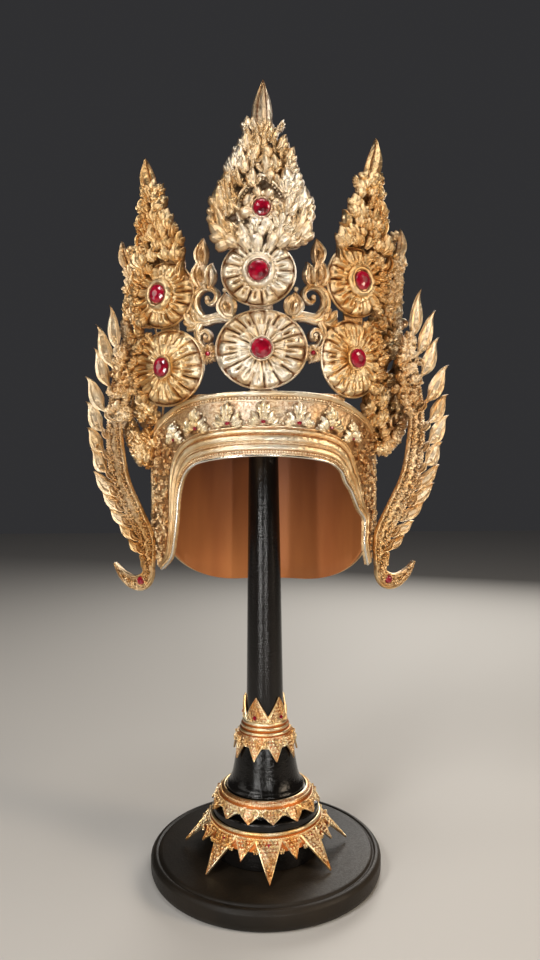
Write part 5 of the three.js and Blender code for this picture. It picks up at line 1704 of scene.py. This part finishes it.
back = {
    # heights of the lower edge at the sides and at the nape; the nape's place and how far from it, in
    # degrees, the edge starts to sag and is lowest
    "sideZ": 283, "backZ": 239, "nape": 176, "sagReach": 78, "sagLevel": 20,
    # inner and outer radius, degrees from the front where the wall starts, top
    "lining": (91, 93.4, 64, 390), "guard": (94, 96.0, 88, 394), "steps": 120,
    "flowerSize": 7.6, "lattice": (9.6, 11.4),
}


def sagAt(angle):
    share = (back["sagReach"] - abs(angle - back["nape"])) / (back["sagReach"] - back["sagLevel"])
    sag = 1 - (1 - min(max(share, 0), 1)) ** 2
    return back["sideZ"] + (back["backZ"] - back["sideZ"]) * sag


def wallAngles(start):
    return np.linspace(start, 360 - start, back["steps"] + 1)


def addLining():
    inner, outer, start, top = back["lining"]
    rings = []
    for angle in wallAngles(start):
        low, middle = sagAt(angle), (inner + outer) / 2
        levels = np.linspace(low + 1.2, top - 1.2, 12)
        ring = [(middle, low), *((outer, z) for z in levels),
                (middle, top), *((inner, z) for z in levels[::-1])]
        rings.append([onRing(r, angle, z) for r, z in ring])
    clay = Clay().loft(rings)
    clay.addMesh(wire([onRing(inner + 1.2, a, sagAt(a) + 1.0) for a in wallAngles(start)], 1.15))
    finishPiece("leather_lining_wall", clay.mesh("lining", 50), Matrix(), "liningLeather", "leather_lining")


def addGuard():
    inner, outer, start, top = back["guard"]
    rings = []
    for angle in wallAngles(start):
        # radius, height and relief round the wall, with a bead along its lower and its upper edge
        low = sagAt(angle)
        ring = [(inner, low + 0.4, 0.3), (outer - 0.6, low, 0.8), (outer + 0.3, low + 0.8, 1),
                (outer + 0.4, low + 2.6, 1), (outer - 0.2, low + 3.8, 0.5),
                *((outer - 0.2, z, 0.14) for z in np.linspace(low + 6, top - 8, 8)),
                (outer - 0.2, top - 5.6, 0.5), (outer + 0.4, top - 4.2, 1), (outer + 0.4, top - 1.6, 1),
                (outer - 0.4, top, 0.8), (inner, top, 0.3)]
        rings.append([onRing(r, angle, z) for r, z, shade in ring])
    clay = Clay().loft(rings, np.tile([shade for r, z, shade in ring], (len(rings), 1)))
    angles = wallAngles(start)[1:-1]
    clay.addMesh(beadRow([onRing(outer, a, sagAt(a) + 5.2) for a in angles], 0.8, 2.4))
    clay.addMesh(beadRow([onRing(outer, a, top - 7.2) for a in angles], 0.8, 2.4))
    spray, size, (stepAngle, stepZ) = Spray(), back["flowerSize"], back["lattice"]
    for r, z in enumerate(np.arange(top - 14.0, back["backZ"] + 8, -stepZ)):
        for a in np.arange(start + 5 + stepAngle / 2 * (r % 2), 360 - start - 4, stepAngle):
            if z <= sagAt(a) + 10:
                continue
            up, out = (0, 0, 1), onRing(1, a, 0)
            spray.stand("floret", onRing(outer - 0.2, a, z), up, out, (size, size, 2.0))
            for b in (-stepAngle / 4, stepAngle / 4):
                if z - stepZ / 2 > sagAt(a) + 9:
                    spray.stand("bead", onRing(outer - 0.1, a + b, z - stepZ / 2), up, out, (1.8, 1.8, 1.6))
    clay.addMesh(spray.mesh(0.03, 0.03, 91))
    finishPiece("back_guard_cast", clay.mesh("guard", 40), Matrix(), "crownGold", "back_guard")


addLining()
addGuard()
print("back walls made")


# floor, camera and light

stage = {
    "floorSize": 6.0, "floorColour": (0.62, 0.60, 0.57),
    "eye": (0.0, -0.664, 0.359), "lens": 28.0, "roll": 0.35, "shift": (0.0068, -0.0219),
    "world": (0.03, 0.03, 0.032), "aim": (0.0, -0.03, 0.43),
    # place, width and height, power and colour of each soft light, aimed at the middle of the diadem
    "lights": {
        "keyLight": ((-0.75, -0.95, 1.25), (0.35, 0.35), 7.6, (1, 0.97, 0.93)),
        "frontLight": ((0.15, -0.81, 0.23), (0.02, 0.42), 1.4, (1, 0.98, 0.95)),
        "stripLight": ((-0.36, -0.74, 0.23), (0.05, 0.42), 2.0, (1, 0.98, 0.95)),
        "rightLight": ((1.15, -0.55, 0.7), (0.25, 0.8), 7.6, (1, 0.82, 0.62)),
        "leftLight": ((-1.2, -0.25, 0.6), (0.25, 0.8), 1.4, (1, 0.95, 0.88)),
        "topLight": ((0.1, -0.35, 1.6), (0.5, 0.5), 4.2, (1, 0.97, 0.93)),
        "backLight": ((0.5, 1.3, 0.9), (0.8, 0.8), 12, (1, 0.96, 0.9)),
    },
}


def addStage():
    mesh, half = bpy.data.meshes.new("floor"), stage["floorSize"] / 2
    mesh.from_pydata([(-half, -half, 0), (half, -half, 0), (half, half, 0), (-half, half, 0)], [],
                     [(0, 1, 2, 3)])
    floor = addObject("floor", mesh)
    mesh.materials.append(newMaterial("paleFloor", Roughness=0.6, Base_Color=(*stage["floorColour"], 1))[0])
    floor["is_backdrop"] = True
    world = bpy.data.worlds.new("studio")
    world.use_nodes = True
    scene.world = world
    background = next(n for n in world.node_tree.nodes if n.type == "BACKGROUND")
    background.inputs["Color"].default_value = (*stage["world"], 1)
    for name, (place, size, power, colour) in stage["lights"].items():
        data = bpy.data.lights.new(name, "AREA")
        data.shape, data.energy, data.color = "RECTANGLE", power, colour
        data.size, data.size_y = size
        light, aim = addObject(name, data), Vector(stage["aim"]) - Vector(place)
        light.location, light.rotation_euler = place, aim.to_track_quat("-Z", "Y").to_euler()


def addCamera():
    data = bpy.data.cameras.new("camera")
    data.sensor_width, data.lens = 36, stage["lens"]
    data.shift_x, data.shift_y = stage["shift"]
    scene.camera = addObject("camera", data)
    scene.camera.location = stage["eye"]
    scene.camera.rotation_euler = (math.pi / 2, math.radians(stage["roll"]), 0)
    scene.view_settings.view_transform = "Standard"


addStage()
addCamera()
low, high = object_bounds()
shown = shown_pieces()
triangles = sum(len(face.vertices) - 2 for piece in shown for face in piece.data.polygons)
print("pieces:", len(shown), "triangles:", triangles)
